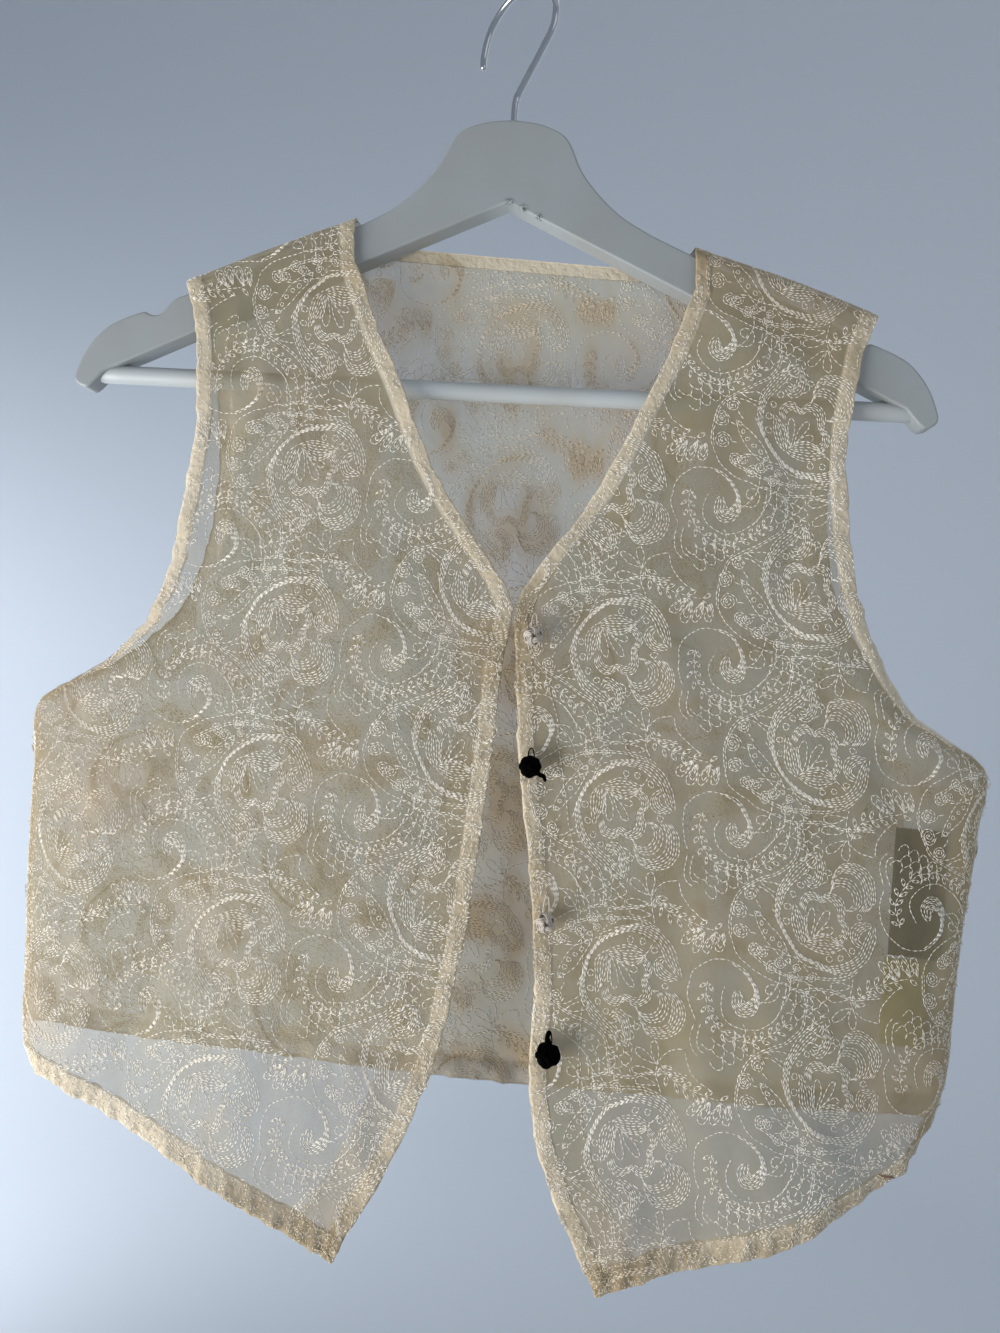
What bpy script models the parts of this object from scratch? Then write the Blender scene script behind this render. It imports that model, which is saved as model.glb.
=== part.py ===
"""Embroidered silk waistcoat on a painted wooden hanger.

Frame: origin where the hook hangs on its rail, +Z up, +X to the viewer's right of the front
(the wearer's left), the fronts facing -Y. Every length is in metres; the tables are in
millimetres, as their column names say.
"""

import math

import bmesh
import bpy
import numpy as np
from mathutils import Matrix, Vector

MM = 0.001

# ---------------------------------------------------------------- driving dimensions
CLOTH = 1.0 * MM  # wall of every piece of cloth
GAP = 0.3 * MM  # clearance between pieces that touch
SEAM_HALF = 0.2 * MM  # half the gap between two panels at a seam

ARCH_REACH = 9.4 * MM  # how far the cloth stands out from the crest line, front and back
ARCH_DROP = 8.8 * MM  # drop over which it turns down from the crest
SEAM_ROUND = 3.0  # exponents of the rounded side of the body section
SEAM_SQUARE = 2.0

NECK_BAND = 7.0 * MM  # facing of the neck edges
ARMHOLE_BAND = 8.0 * MM  # facing of the armholes
HEM_BAND = 12.0 * MM  # facing of the hems, the last table row stands this far up

WOOD_THICK = 13.0 * MM
WOOD_EDGE = 1.0 * MM  # rounding of the wood's edges
BAR_RADIUS = 4.6 * MM
BAR_HALF = 201.0 * MM  # the bar's ends are let into the arms
BAR_HEIGHT = -200.0 * MM
SOCKET_END = 203.0 * MM
HOOK_WIRE = 1.65 * MM
HOOK_SWIVEL = math.radians(40.0)
HOOK_HOLE_FOOT = -84.0 * MM

# Right front, on the viewer's left. One row for each level from the shoulder seam to the hem.
# inner = neck or front edge, outer = armhole or side seam, bow = sag of the row between them.
RIGHT_FRONT_ROWS = (
    # inner_x inner_z outer_x outer_z inner_y outer_y  bow facing
    (-75.5, -116.4, -159.0, -151.0, 0.0, 0.0, 1.0, 7.0),  # shoulder seam
    (-72.5, -141.0, -151.5, -172.0, -9.9, -9.8, 1.0, 7.0),
    (-60.0, -172.0, -148.0, -203.0, -10.8, -10.6, 0.5, 7.0),
    (-45.0, -202.0, -147.5, -232.0, -12.2, -11.6, 0.0, 7.0),
    (-27.0, -241.0, -150.5, -262.0, -14.2, -12.0, 0.0, 7.0),
    (-7.0, -271.0, -155.0, -293.0, -16.0, -11.2, 0.0, 7.5),
    (15.5, -303.0, -165.0, -322.0, -17.8, -9.0, 0.0, 9.0),  # foot of the neck opening
    (14.0, -330.0, -189.0, -347.0, -19.2, -5.6, 0.0, 15.0),
    (12.5, -357.0, -223.0, -368.0, -20.6, -0.2, 0.0, 20.0),  # underarm
    (11.0, -385.0, -224.0, -396.0, -22.0, -0.2, 0.0, 22.0),
    (8.5, -420.0, -224.0, -427.0, -23.2, -0.2, 0.0, 23.0),
    (5.5, -455.0, -223.5, -458.0, -24.4, -0.2, 0.0, 24.0),
    (1.5, -487.0, -222.0, -484.0, -25.4, -0.2, 0.5, 24.0),
    (-4.0, -517.0, -221.0, -504.0, -26.2, -0.2, 1.0, 24.0),
    (-13.0, -548.0, -221.0, -518.0, -26.8, -0.2, 2.5, 24.0),
    (-27.0, -581.0, -220.5, -529.0, -27.2, -0.2, 4.0, 24.0),
    (-42.5, -610.5, -219.0, -540.0, -27.6, -0.2, 5.5, 24.0),  # top of the hem facing
    (-48.0, -622.5, -214.0, -551.0, -27.8, -0.2, 6.0, 24.0),  # hem
)

# Left front, on the viewer's right; its lower part stands a little further forward.
LEFT_FRONT_ROWS = (
    # inner_x inner_z outer_x outer_z inner_y outer_y  bow facing
    (93.0, -124.4, 182.5, -153.5, 0.0, 0.0, 1.5, 7.0),  # shoulder seam
    (94.0, -147.0, 175.5, -173.0, -9.8, -9.6, 1.0, 7.0),
    (86.0, -173.0, 171.5, -203.0, -10.6, -10.4, 0.5, 7.0),
    (73.0, -204.0, 170.5, -232.0, -11.6, -11.4, 0.0, 7.0),
    (56.0, -243.0, 174.0, -262.0, -13.0, -12.0, 0.0, 7.0),
    (38.0, -272.0, 180.0, -291.0, -14.6, -11.4, 0.0, 7.5),
    (19.0, -302.0, 191.0, -318.0, -16.6, -9.2, 0.0, 9.0),  # foot of the neck opening
    (19.5, -330.0, 213.0, -348.0, -18.6, -5.6, 0.0, 15.0),
    (22.0, -357.0, 247.5, -369.0, -20.6, -0.2, 0.0, 20.0),  # underarm
    (25.5, -386.0, 247.0, -396.0, -22.4, -0.2, 0.0, 22.0),
    (31.0, -418.0, 244.5, -427.0, -24.4, -0.2, 0.0, 23.0),
    (36.0, -451.0, 241.5, -458.0, -26.6, -0.2, 0.0, 24.0),
    (39.0, -485.0, 240.5, -484.0, -28.8, -0.2, -0.5, 24.0),
    (39.0, -517.0, 240.0, -503.0, -30.8, -0.2, -2.0, 24.0),
    (43.5, -552.0, 239.0, -515.0, -32.4, -0.2, -4.5, 24.0),
    (56.0, -583.0, 237.0, -526.0, -33.4, -0.2, -7.5, 24.0),
    (70.5, -610.0, 233.5, -537.0, -33.8, -0.2, -10.0, 24.0),  # top of the hem facing
    (76.0, -621.5, 227.0, -548.0, -34.0, -0.2, -11.0, 24.0),  # hem
)

# Back. Each row runs from the viewer's left armhole or side seam to the right one.
# hump = how much of the shoulder line's rise the row keeps, sag = drop of the row's middle.
BACK_ROWS = (
    # left_x left_z right_x right_z side_y mid_y hump  sag
    (-159.0, -151.0, 182.5, -153.5, 0.0, 0.0, 1.00, 0.0),  # shoulder seam
    (-151.5, -172.0, 175.5, -173.0, 9.7, 11.2, 0.86, 0.0),
    (-145.5, -203.0, 171.0, -203.0, 10.6, 12.4, 0.66, 0.0),
    (-142.5, -232.0, 168.5, -232.0, 11.6, 13.6, 0.46, 0.0),
    (-143.0, -262.0, 169.5, -262.0, 12.2, 15.0, 0.26, 0.0),
    (-148.0, -292.0, 175.5, -291.0, 11.6, 16.2, 0.12, 0.0),
    (-160.0, -322.0, 190.0, -318.0, 9.2, 17.4, 0.04, 0.0),
    (-187.5, -347.0, 212.0, -348.0, 5.6, 18.4, 0.00, 0.0),
    (-223.0, -368.0, 247.5, -369.0, 0.2, 19.2, 0.00, 0.0),  # underarm
    (-224.0, -396.0, 247.0, -396.0, 0.2, 19.8, 0.00, 0.0),
    (-224.0, -427.0, 244.5, -427.0, 0.2, 20.4, 0.00, 0.0),
    (-223.5, -458.0, 241.5, -458.0, 0.2, 20.8, 0.00, 0.0),
    (-222.0, -484.0, 240.5, -484.0, 0.2, 21.2, 0.00, -1.0),
    (-221.0, -504.0, 240.0, -503.0, 0.2, 21.6, 0.00, -4.0),
    (-221.0, -522.0, 237.5, -530.0, 0.2, 21.8, 0.00, -11.5),  # top of the hem facing
    (-220.5, -533.0, 232.5, -540.0, 0.2, 22.0, 0.00, -13.0),  # hem
)

# Soft folds: where each stands across its panel, how wide it is, the level it grows from and
# to, both as shares of the panel, and how far it stands out at its foot.
FRONT_FOLDS = {
    "right": (
        # across width from_v to_v  out_mm
        (0.38, 0.13, 0.30, 1.0, 3.0),
        (0.68, 0.10, 0.42, 1.0, -2.6),
        (0.22, 0.10, 0.12, 0.5, 1.4),
    ),
    "left": (
        (0.30, 0.12, 0.34, 1.0, -3.2),
        (0.56, 0.13, 0.40, 1.0, 3.6),
        (0.80, 0.08, 0.50, 1.0, -2.4),
    ),
}
BACK_FOLDS = (
    (0.24, 0.08, 0.45, 1.0, 2.6),
    (0.50, 0.09, 0.30, 1.0, -2.4),
    (0.74, 0.08, 0.45, 1.0, 2.8),
)
FRONT_ACROSS = (0.14, 0.30, 0.46, 0.62, 0.76, 0.88)  # columns between the two edge bands
BACK_ACROSS = (0.08, 0.20, 0.34, 0.50, 0.66, 0.80, 0.92)

# Shoulder line of the back: x and z of the seam, straight across between the neck points.
SHOULDER_LINE_MM = ((-159.0, -151.0), (-75.5, -116.4), (93.0, -124.4), (182.5, -153.5))
NECK_LEFT = -75.5 * MM
NECK_RIGHT = 93.0 * MM
NECK_TURN = 7.5 * MM  # length over which the back's neck edge rounds down off the shoulder
ARCH_SHARES = (0.0, 0.13, 0.26, 0.39, 0.52, 0.76)  # levels between the seam and the next row

# Half outline of the hanger's wood, from the top of the head down to the arm and back.
HANGER_OUTLINE_MM = (
    # x      z
    (0.0, -66.4),
    (11.0, -67.6),
    (18.0, -69.4),
    (23.5, -71.8),
    (27.6, -75.2),
    (30.6, -80.2),
    (34.6, -88.8),
    (39.0, -95.2),
    (46.5, -103.6),
    (56.0, -111.8),
    (66.0, -117.8),
    (76.0, -122.8),
    (100.0, -133.4),
    (130.0, -146.8),
    (155.0, -158.0),
    (161.0, -160.4),
    (165.2, -162.8),
    (168.6, -166.8),
    (171.2, -169.6),
    (174.2, -170.6),
    (177.2, -169.9),
    (179.8, -169.0),
    (185.0, -170.8),
    (192.0, -173.8),
    (198.6, -177.8),
    (204.8, -184.2),
    (209.4, -191.4),
    (212.4, -198.6),
    (213.6, -203.2),
    (212.6, -206.2),
    (209.0, -208.2),
    (205.4, -207.6),
    (198.0, -199.6),
    (151.7, -177.6),
    (0.0, -107.4),
)

# Wire of the hook in its own plane: out from the shaft and up.
HOOK_MM = (
    # out    up
    (0.0, -83.0),
    (0.0, -58.0),
    (0.5, -54.2),
    (2.2, -50.6),
    (11.4, -39.4),
    (17.8, -31.6),
    (21.4, -26.8),
    (23.3, -21.6),
    (22.9, -14.2),
    (19.0, -5.6),
    (11.6, 0.0),
    (2.4, 1.65),
    (-7.2, 0.5),
    (-15.8, -4.4),
    (-22.0, -12.2),
    (-24.8, -21.8),
    (-24.8, -28.0),
)

# Knot buttons on the left front: height, distance in from the edge, radius, shank.
BUTTONS = (
    # name       z_mm   in_mm r_mm lobes
    ("button_1", -321.0, 9.0, 5.0, 6),
    ("button_2", -382.0, 5.0, 5.6, 5),
    ("button_3", -453.0, 6.0, 5.0, 6),
    ("button_4", -512.0, 8.0, 6.2, 5),
)
BUTTON_SHANK = 1.6 * MM

# Labels inside the wearer's left side seam: distance in from the seam, and their heights.
LABELS = (
    # name         in_mm out_mm top_mm foot_mm
    ("label_upper", 11.0, 29.0, -402.0, -465.0),
    ("label_lower", 10.0, 29.0, -466.5, -509.0),
)

# Colours: base colour, roughness, metallic.
FINISHES = {
    "silk": ((0.66, 0.60, 0.48, 1.0), 0.75, 0.0),
    "silk_band": ((0.74, 0.66, 0.49, 1.0), 0.8, 0.0),
    "painted_wood": ((0.70, 0.71, 0.69, 1.0), 0.45, 0.0),
    "wire": ((0.62, 0.63, 0.64, 1.0), 0.18, 1.0),
    "cream_cord": ((0.80, 0.73, 0.58, 1.0), 0.7, 0.0),
    "black_cord": ((0.02, 0.02, 0.022, 1.0), 0.6, 0.0),
    "black_label": ((0.025, 0.025, 0.028, 1.0), 0.8, 0.0),
    "olive_label": ((0.42, 0.37, 0.18, 1.0), 0.8, 0.0),
}


# ---------------------------------------------------------------- scene and materials
def clear_scene():
    """Remove every object of the startup scene."""
    for obj in list(bpy.data.objects):
        bpy.data.objects.remove(obj, do_unlink=True)


def new_collection(name):
    """Add a collection to the scene."""
    collection = bpy.data.collections.new(name)
    bpy.context.scene.collection.children.link(collection)
    return collection


def finish(name):
    """Return the material of a finish, made once."""
    if name in bpy.data.materials:
        return bpy.data.materials[name]
    colour, roughness, metallic = FINISHES[name]
    material = bpy.data.materials.new(name)
    material.use_nodes = True
    shader = material.node_tree.nodes["Principled BSDF"]
    shader.inputs["Base Color"].default_value = colour
    shader.inputs["Roughness"].default_value = roughness
    shader.inputs["Metallic"].default_value = metallic
    material.diffuse_color = colour
    return material


def add_mesh(name, verts, faces, finish_name, collection, smooth=True):
    """Make a mesh object, its faces turned outward."""
    mesh = bpy.data.meshes.new(name)
    mesh.from_pydata([tuple(v) for v in verts], [], faces)
    shell = bmesh.new()
    shell.from_mesh(mesh)
    bmesh.ops.recalc_face_normals(shell, faces=shell.faces)
    shell.to_mesh(mesh)
    shell.free()
    if smooth:
        mesh.shade_smooth()
    obj = bpy.data.objects.new(name, mesh)
    collection.objects.link(obj)
    mesh.materials.append(finish(finish_name))
    return obj


# ---------------------------------------------------------------- surfaces
def refine(rows, start):
    """Put one smooth level between each two rows from row `start` on."""
    rows = np.asarray(rows, float)
    out = [row for row in rows[: start + 1]]
    last = len(rows) - 1
    for i in range(start, last):
        before = rows[max(i - 1, start)]
        after = rows[min(i + 2, last)]
        middle = (9.0 * (rows[i] + rows[i + 1]) - before - after) / 16.0
        middle = np.where(rows[i] == rows[i + 1], rows[i], middle)
        out += [middle, rows[i + 1]]
    return np.array(out)


def levels(count):
    """Share of the panel's height at each level."""
    return np.linspace(0.0, 1.0, count)


def fold_depth(folds, across, down):
    """How far the folds stand out at each point, from their table."""
    depth = np.zeros(np.broadcast(across, down).shape)
    for centre, width, start, end, out in folds:
        share = np.clip((down - start) / (end - start), 0.0, 1.0)
        growth = share * share * (3.0 - 2.0 * share)
        depth = depth + out * MM * growth * np.exp(-(((across - centre) / width) ** 2))
    return depth


def body_round(across):
    """Rounded body section: 1 along the middle, turning to 0 at the side seam."""
    return (1.0 - np.clip(across, 0.0, 1.0) ** SEAM_ROUND) ** (1.0 / SEAM_SQUARE)


def normals_of(grid):
    """Unit normals of a grid of points, from the levels and columns beside each point."""
    along = np.gradient(grid, axis=1)
    down = np.gradient(grid, axis=0)
    normal = np.cross(along, down)
    return normal / np.linalg.norm(normal, axis=2, keepdims=True)


def arch(share):
    """Reach and drop of the cloth at this share of the way round the shoulder's crest."""
    angle = 0.5 * math.pi * np.clip(share, 0.0, 1.0)
    return ARCH_REACH * np.sin(angle), ARCH_DROP * (1.0 - np.cos(angle))


def front_panel(table, side):
    """Outer surface of one front: its grid of points and its outward normals."""
    rows = refine(table, 1)
    rows[:, :7] *= MM
    inner_x, inner_z, outer_x, outer_z, inner_y, outer_y, bow, facing = rows.T
    width = np.hypot(outer_x - inner_x, outer_z - inner_z)
    edge = facing * MM / width
    band = ARMHOLE_BAND / width
    columns = [0.0 * edge, edge]
    columns += [edge + (1.0 - band - edge) * share for share in FRONT_ACROSS]
    columns += [1.0 - band, 1.0 - 0.5 * band, 1.0 - 0.15 * band, 1.0 + 0.0 * band]
    across = np.array(columns).T
    down = levels(len(rows))[:, None]
    x = inner_x[:, None] + (outer_x - inner_x)[:, None] * across
    z = inner_z[:, None] + (outer_z - inner_z)[:, None] * across
    z = z + bow[:, None] * np.sin(math.pi * across**1.4)
    y = outer_y[:, None] + (inner_y - outer_y)[:, None] * body_round(across)
    inside = np.clip(across * 8.0, 0.0, 1.0) * np.clip((1.0 - across) * 8.0, 0.0, 1.0)
    y = y - fold_depth(FRONT_FOLDS[side], across, down) * inside
    below = np.stack([x, y, z], axis=2)

    # The first levels round over the crest, then run straight to the table's next row.
    crest, row_1 = below[0], below[1]
    rounded = []
    for share in (0.0, 0.34, 0.67, 1.0):
        reach, drop = arch(share)
        point = crest.copy()
        point[:, 1] = -SEAM_HALF - reach
        point[:, 2] -= drop
        drift = drop / (crest[:, 2] - row_1[:, 2])
        point[:, 0] += (row_1[:, 0] - crest[:, 0]) * drift
        rounded.append(point)
    between = 0.5 * (rounded[-1] + row_1)
    grid = np.concatenate([np.array(rounded), [between], below[1:]])
    normal = normals_of(grid)
    if normal[5, 3, 1] > 0.0:
        normal = -normal
    normal[0] = (0.0, 0.0, 1.0)
    first = underarm_level(grid)
    normal[first:, -1] = (-1.0 if side == "right" else 1.0, 0.0, 0.0)
    return grid, normal


def underarm_level(grid):
    """First level whose outer end lies on the side seam."""
    on_seam = np.abs(grid[:, -1, 1]) < 1.5 * SEAM_HALF
    on_seam[:4] = False
    return int(np.argmax(on_seam))


def back_panel():
    """Outer surface of the back: its grid, its outward normals and its neck columns."""
    rows = refine(BACK_ROWS, 1)
    rows[:, :6] *= MM
    left_x, left_z, right_x, right_z, side_y, mid_y, hump, sag = rows.T
    width = right_x - left_x
    band = ARMHOLE_BAND / width
    neck = [NECK_LEFT + NECK_TURN * share for share in (0.0, 0.35, 0.7, 1.15)]
    neck += [-42.0 * MM, -16.0 * MM, 9.0 * MM, 34.0 * MM, 59.0 * MM]
    neck += [NECK_RIGHT - NECK_TURN * share for share in (1.15, 0.7, 0.35, 0.0)]
    at_neck = (np.array(neck) - left_x[0]) / width[0]
    shoulder = (0.34, 0.68)
    columns = [0.0 * band, 0.15 * band, 0.5 * band, band]
    columns += [band + (at_neck[0] - band) * share for share in shoulder]
    columns += [place + 0.0 * band for place in at_neck]
    columns += [1.0 - band - (1.0 - at_neck[-1] - band) * share for share in shoulder[::-1]]
    columns += [1.0 - band, 1.0 - 0.5 * band, 1.0 - 0.15 * band, 1.0 + 0.0 * band]
    across = np.array(columns).T
    down = levels(len(rows))[:, None]
    line = np.array(SHOULDER_LINE_MM) * MM
    seam_x = left_x[0] + width[0] * across[0]
    seam_z = np.interp(seam_x, line[:, 0], line[:, 1])
    rise = seam_z - (left_z[0] + (right_z[0] - left_z[0]) * across[0])
    x = left_x[:, None] + width[:, None] * across
    z = left_z[:, None] + (right_z - left_z)[:, None] * across
    z = z + hump[:, None] * rise[None, :]
    z = z + sag[:, None] * MM * (1.0 - np.abs(2.0 * across - 1.0) ** 4)
    y = side_y[:, None] + (mid_y - side_y)[:, None] * body_round(np.abs(2.0 * across - 1.0))
    inside = np.clip(across * 12.0, 0.0, 1.0) * np.clip((1.0 - across) * 12.0, 0.0, 1.0)
    y = y + fold_depth(BACK_FOLDS, across, down) * inside
    below = np.stack([x, y, z], axis=2)

    # Between the neck points the edge leaves the shoulder line and drops round the crest.
    crest, row_1 = below[0], below[1]
    arch_length = 0.5 * math.pi * 0.5 * (ARCH_REACH + ARCH_DROP)
    foot = crest.copy()
    foot[:, 1] = SEAM_HALF + ARCH_REACH
    foot[:, 2] -= ARCH_DROP
    straight = np.linalg.norm(row_1 - foot, axis=1)
    inward = np.minimum(crest[:, 0] - NECK_LEFT, NECK_RIGHT - crest[:, 0])
    turn = np.clip(inward / NECK_TURN, 0.0, 1.0)
    start = arch_length * np.sin(0.5 * math.pi * turn)
    upper = []
    for share in ARCH_SHARES:
        length = start + (arch_length + straight - start) * share
        reach, drop = arch(length / arch_length)
        over = np.clip((length - arch_length) / straight, 0.0, 1.0)[:, None]
        point = crest.copy()
        point[:, 1] = SEAM_HALF + reach
        point[:, 2] -= drop
        point[:, 0] += (row_1[:, 0] - crest[:, 0]) * drop / (crest[:, 2] - row_1[:, 2])
        upper.append(point + (row_1 - point) * over)
    grid = np.concatenate([np.array(upper), below[1:]])
    normal = normals_of(grid)
    if normal[8, 8, 1] < 0.0:
        normal = -normal
    on_seam = turn <= 0.0
    normal[0, on_seam] = (0.0, 0.0, 1.0)
    first = underarm_level(grid)
    normal[first:, 0] = (-1.0, 0.0, 0.0)
    normal[first:, -1] = (1.0, 0.0, 0.0)
    neck_columns = (6, 6 + len(neck) - 1)
    return grid, normal, neck_columns


# ---------------------------------------------------------------- cloth solids
def cloth_solid(name, outer, normal, finish_name, collection, inset=0.0):
    """Loft the wall of a piece of cloth between its outer grid and the same grid moved in."""
    face = outer - normal * inset
    lining = face - normal * CLOTH
    count_down, count_across = outer.shape[:2]
    verts = np.concatenate([face.reshape(-1, 3), lining.reshape(-1, 3)])
    under = count_down * count_across
    index = np.arange(under).reshape(count_down, count_across)
    faces = []
    for i in range(count_down - 1):
        for j in range(count_across - 1):
            a, b = int(index[i, j]), int(index[i, j + 1])
            c, d = int(index[i + 1, j + 1]), int(index[i + 1, j])
            faces += [(a, b, c), (a, c, d)]
            faces += [(c + under, b + under, a + under), (d + under, c + under, a + under)]
    rim = list(index[0]) + list(index[1:, -1]) + list(index[-1, -2::-1]) + list(index[-2:0:-1, 0])
    for a, b in zip(rim, rim[1:] + rim[:1]):
        faces.append((int(b), int(a), int(a) + under, int(b) + under))
    return add_mesh(name, verts, faces, finish_name, collection)


def strip(grid, normal, down, across, first_in=0.0, last_in=0.0, top_in=0.0):
    """Cut a strip of a panel's grid, its ends drawn in so that it stays clear of the next."""
    part = grid[down[0] : down[1] + 1, across[0] : across[1] + 1].copy()
    turn = normal[down[0] : down[1] + 1, across[0] : across[1] + 1].copy()
    if first_in:
        step = part[:, 1] - part[:, 0]
        part[:, 0] += step * (first_in / np.linalg.norm(step, axis=1, keepdims=True))
    if last_in:
        step = part[:, -2] - part[:, -1]
        part[:, -1] += step * (last_in / np.linalg.norm(step, axis=1, keepdims=True))
    if top_in:
        step = part[1] - part[0]
        part[0] += step * (top_in / np.linalg.norm(step, axis=1, keepdims=True))
    return part, turn


def facing(name, grid, normal, down, across, collection, **ends):
    """Make a facing: a strip of its panel, laid inside the panel's wall."""
    part, turn = strip(grid, normal, down, across, **ends)
    return cloth_solid(name, part, turn, "silk_band", collection, inset=CLOTH + GAP)


def build_front(side, table, collection):
    """One front with the facings of its front edge, armhole and hem."""
    grid, normal = front_panel(table, side)
    last, end = grid.shape[0] - 1, grid.shape[1] - 1
    cloth_solid(f"{side}_front", grid, normal, "silk", collection)
    under = underarm_level(grid)
    facing(f"{side}_edge_facing", grid, normal, (0, last), (0, 1), collection)
    facing(
        f"{side}_armhole_facing_front", grid, normal, (0, under), (end - 3, end), collection
    )
    facing(
        f"{side}_hem_facing",
        grid,
        normal,
        (last - 2, last),
        (1, end),
        collection,
        first_in=2.0 * GAP,
    )
    return grid, normal


def build_back(collection):
    """The back with the facings of its neck, armholes and hem."""
    grid, normal, (neck_first, neck_last) = back_panel()
    last, end = grid.shape[0] - 1, grid.shape[1] - 1
    cloth_solid("back", grid, normal, "silk", collection)
    under = underarm_level(grid)
    clear = (neck_first + 2, neck_last - 2)
    facing("back_neck_facing", grid, normal, (0, 3), clear, collection)
    facing("right_armhole_facing_back", grid, normal, (0, under), (0, 3), collection)
    facing("left_armhole_facing_back", grid, normal, (0, under), (end - 3, end), collection)
    facing("back_hem_facing", grid, normal, (last - 2, last), (0, end), collection)
    return grid, normal


# ---------------------------------------------------------------- buttons and labels
def column_at_height(grid, column, height):
    """Point of a panel's column at this height."""
    line = grid[:, column]
    order = np.argsort(line[:, 2])
    return np.array([np.interp(height, line[order, 2], line[order, k]) for k in range(3)])


def knot_button(name, centre, out, radius, lobes, finish_name, collection):
    """Loft a knotted cord button on its thread shank, from the cloth outward."""
    around, along = 20, 11
    angle = np.linspace(0.0, 2.0 * math.pi, around, endpoint=False)
    profile = [(-radius - BUTTON_SHANK, 0.28 * radius), (-radius * 0.96, 0.26 * radius)]
    for polar in np.linspace(math.radians(150.0), math.radians(14.0), along):
        profile.append((radius * math.cos(polar) * 0.94, radius * math.sin(polar)))
    verts = []
    for height, reach in profile:
        polar = math.acos(max(-1.0, min(1.0, height / radius)))
        weave = 0.05 * np.cos(lobes * angle + 4.0 * polar) * math.sin(polar) ** 2
        ring = reach * (1.0 + weave)
        verts += [(r * math.cos(a), r * math.sin(a), height) for r, a in zip(ring, angle)]
    count = len(profile)
    verts += [(0.0, 0.0, profile[0][0]), (0.0, 0.0, radius * 0.94)]
    faces = []
    for i in range(count - 1):
        for j in range(around):
            k = (j + 1) % around
            faces.append((i * around + j, i * around + k, (i + 1) * around + k, (i + 1) * around + j))
    foot, tip = count * around, count * around + 1
    top = (count - 1) * around
    for j in range(around):
        k = (j + 1) % around
        faces.append((foot, k, j))
        faces.append((tip, top + j, top + k))
    turn = Vector(out).to_track_quat("Z", "Y").to_matrix().to_4x4()
    place = Matrix.Translation(Vector(centre)) @ turn
    verts = [place @ Vector(v) for v in verts]
    return add_mesh(name, verts, faces, finish_name, collection)


def build_buttons(grid, normal, collection):
    """Four knot buttons along the left front's edge."""
    for name, z_mm, in_mm, r_mm, lobes in BUTTONS:
        radius = r_mm * MM
        edge = column_at_height(grid, 0, z_mm * MM)
        beside = column_at_height(grid, 1, z_mm * MM)
        step = beside - edge
        share = in_mm * MM / np.linalg.norm(step)
        spot = edge + step * share
        order = np.argsort(grid[:, 0, 2])
        out = np.array(
            [np.interp(z_mm * MM, grid[order, 0, 2], normal[order, 0, k]) for k in range(3)]
        )
        out /= np.linalg.norm(out)
        centre = spot + out * (radius + BUTTON_SHANK + GAP)
        dark = name in ("button_2", "button_4")
        colour = "black_cord" if dark else "cream_cord"
        knot_button(name, centre, out, radius, lobes, colour, collection)


def build_labels(grid, normal, collection):
    """Two labels hanging inside the wearer's left side seam, along the back's wall."""
    for name, in_mm, out_mm, top_mm, foot_mm in LABELS:
        rows, turns = [], []
        for height in np.linspace(top_mm, foot_mm, 5) * MM:
            columns = range(grid.shape[1] - 8, grid.shape[1])
            line = np.array([column_at_height(grid, k, height) for k in columns])
            order = np.argsort(line[:, 0])
            seam = line[-1, 0]
            spots = seam - np.linspace(out_mm, in_mm, 7) * MM
            depth = np.interp(spots, line[order, 0], line[order, 1])
            rows.append(np.stack([spots, depth, np.full(7, height)], axis=1))
        part = np.array(rows)
        turns = normals_of(part)
        if turns[2, 2, 1] < 0.0:
            turns = -turns
        colour = "black_label" if name == "label_upper" else "olive_label"
        cloth_solid(name, part, turns, colour, collection, inset=CLOTH + 2.0 * GAP)


# ---------------------------------------------------------------- hanger
def cutter(name, radius, start, end, cutters):
    """A round cutter between two points, kept out of the render."""
    start, end = Vector(start), Vector(end)
    bpy.ops.mesh.primitive_cylinder_add(
        vertices=32, radius=radius, depth=(end - start).length, location=(start + end) / 2.0
    )
    obj = bpy.context.object
    obj.name = name
    obj.rotation_mode = "QUATERNION"
    obj.rotation_quaternion = (end - start).to_track_quat("Z", "Y")
    move_to(obj, cutters)
    obj.hide_render = True
    obj.display_type = "WIRE"
    return obj


def move_to(obj, collection):
    """Keep an object in this collection alone."""
    for other in list(obj.users_collection):
        other.objects.unlink(obj)
    collection.objects.link(obj)


def cut(obj, tool):
    """Cut a tool's shape out of an object."""
    boolean = obj.modifiers.new("cut_" + tool.name, "BOOLEAN")
    boolean.operation = "DIFFERENCE"
    boolean.solver = "EXACT"
    boolean.object = tool


def curve_to_mesh(curve, collection, finish_name):
    """Turn a curve object into a mesh object of the same name."""
    graph = bpy.context.evaluated_depsgraph_get()
    mesh = bpy.data.meshes.new_from_object(curve.evaluated_get(graph))
    name = curve.name
    bpy.data.objects.remove(curve, do_unlink=True)
    shell = bmesh.new()
    shell.from_mesh(mesh)
    bmesh.ops.remove_doubles(shell, verts=shell.verts, dist=0.00002)
    bmesh.ops.recalc_face_normals(shell, faces=shell.faces)
    shell.to_mesh(mesh)
    shell.free()
    mesh.materials.clear()
    mesh.materials.append(finish(finish_name))
    obj = bpy.data.objects.new(name, mesh)
    collection.objects.link(obj)
    return obj


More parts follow.
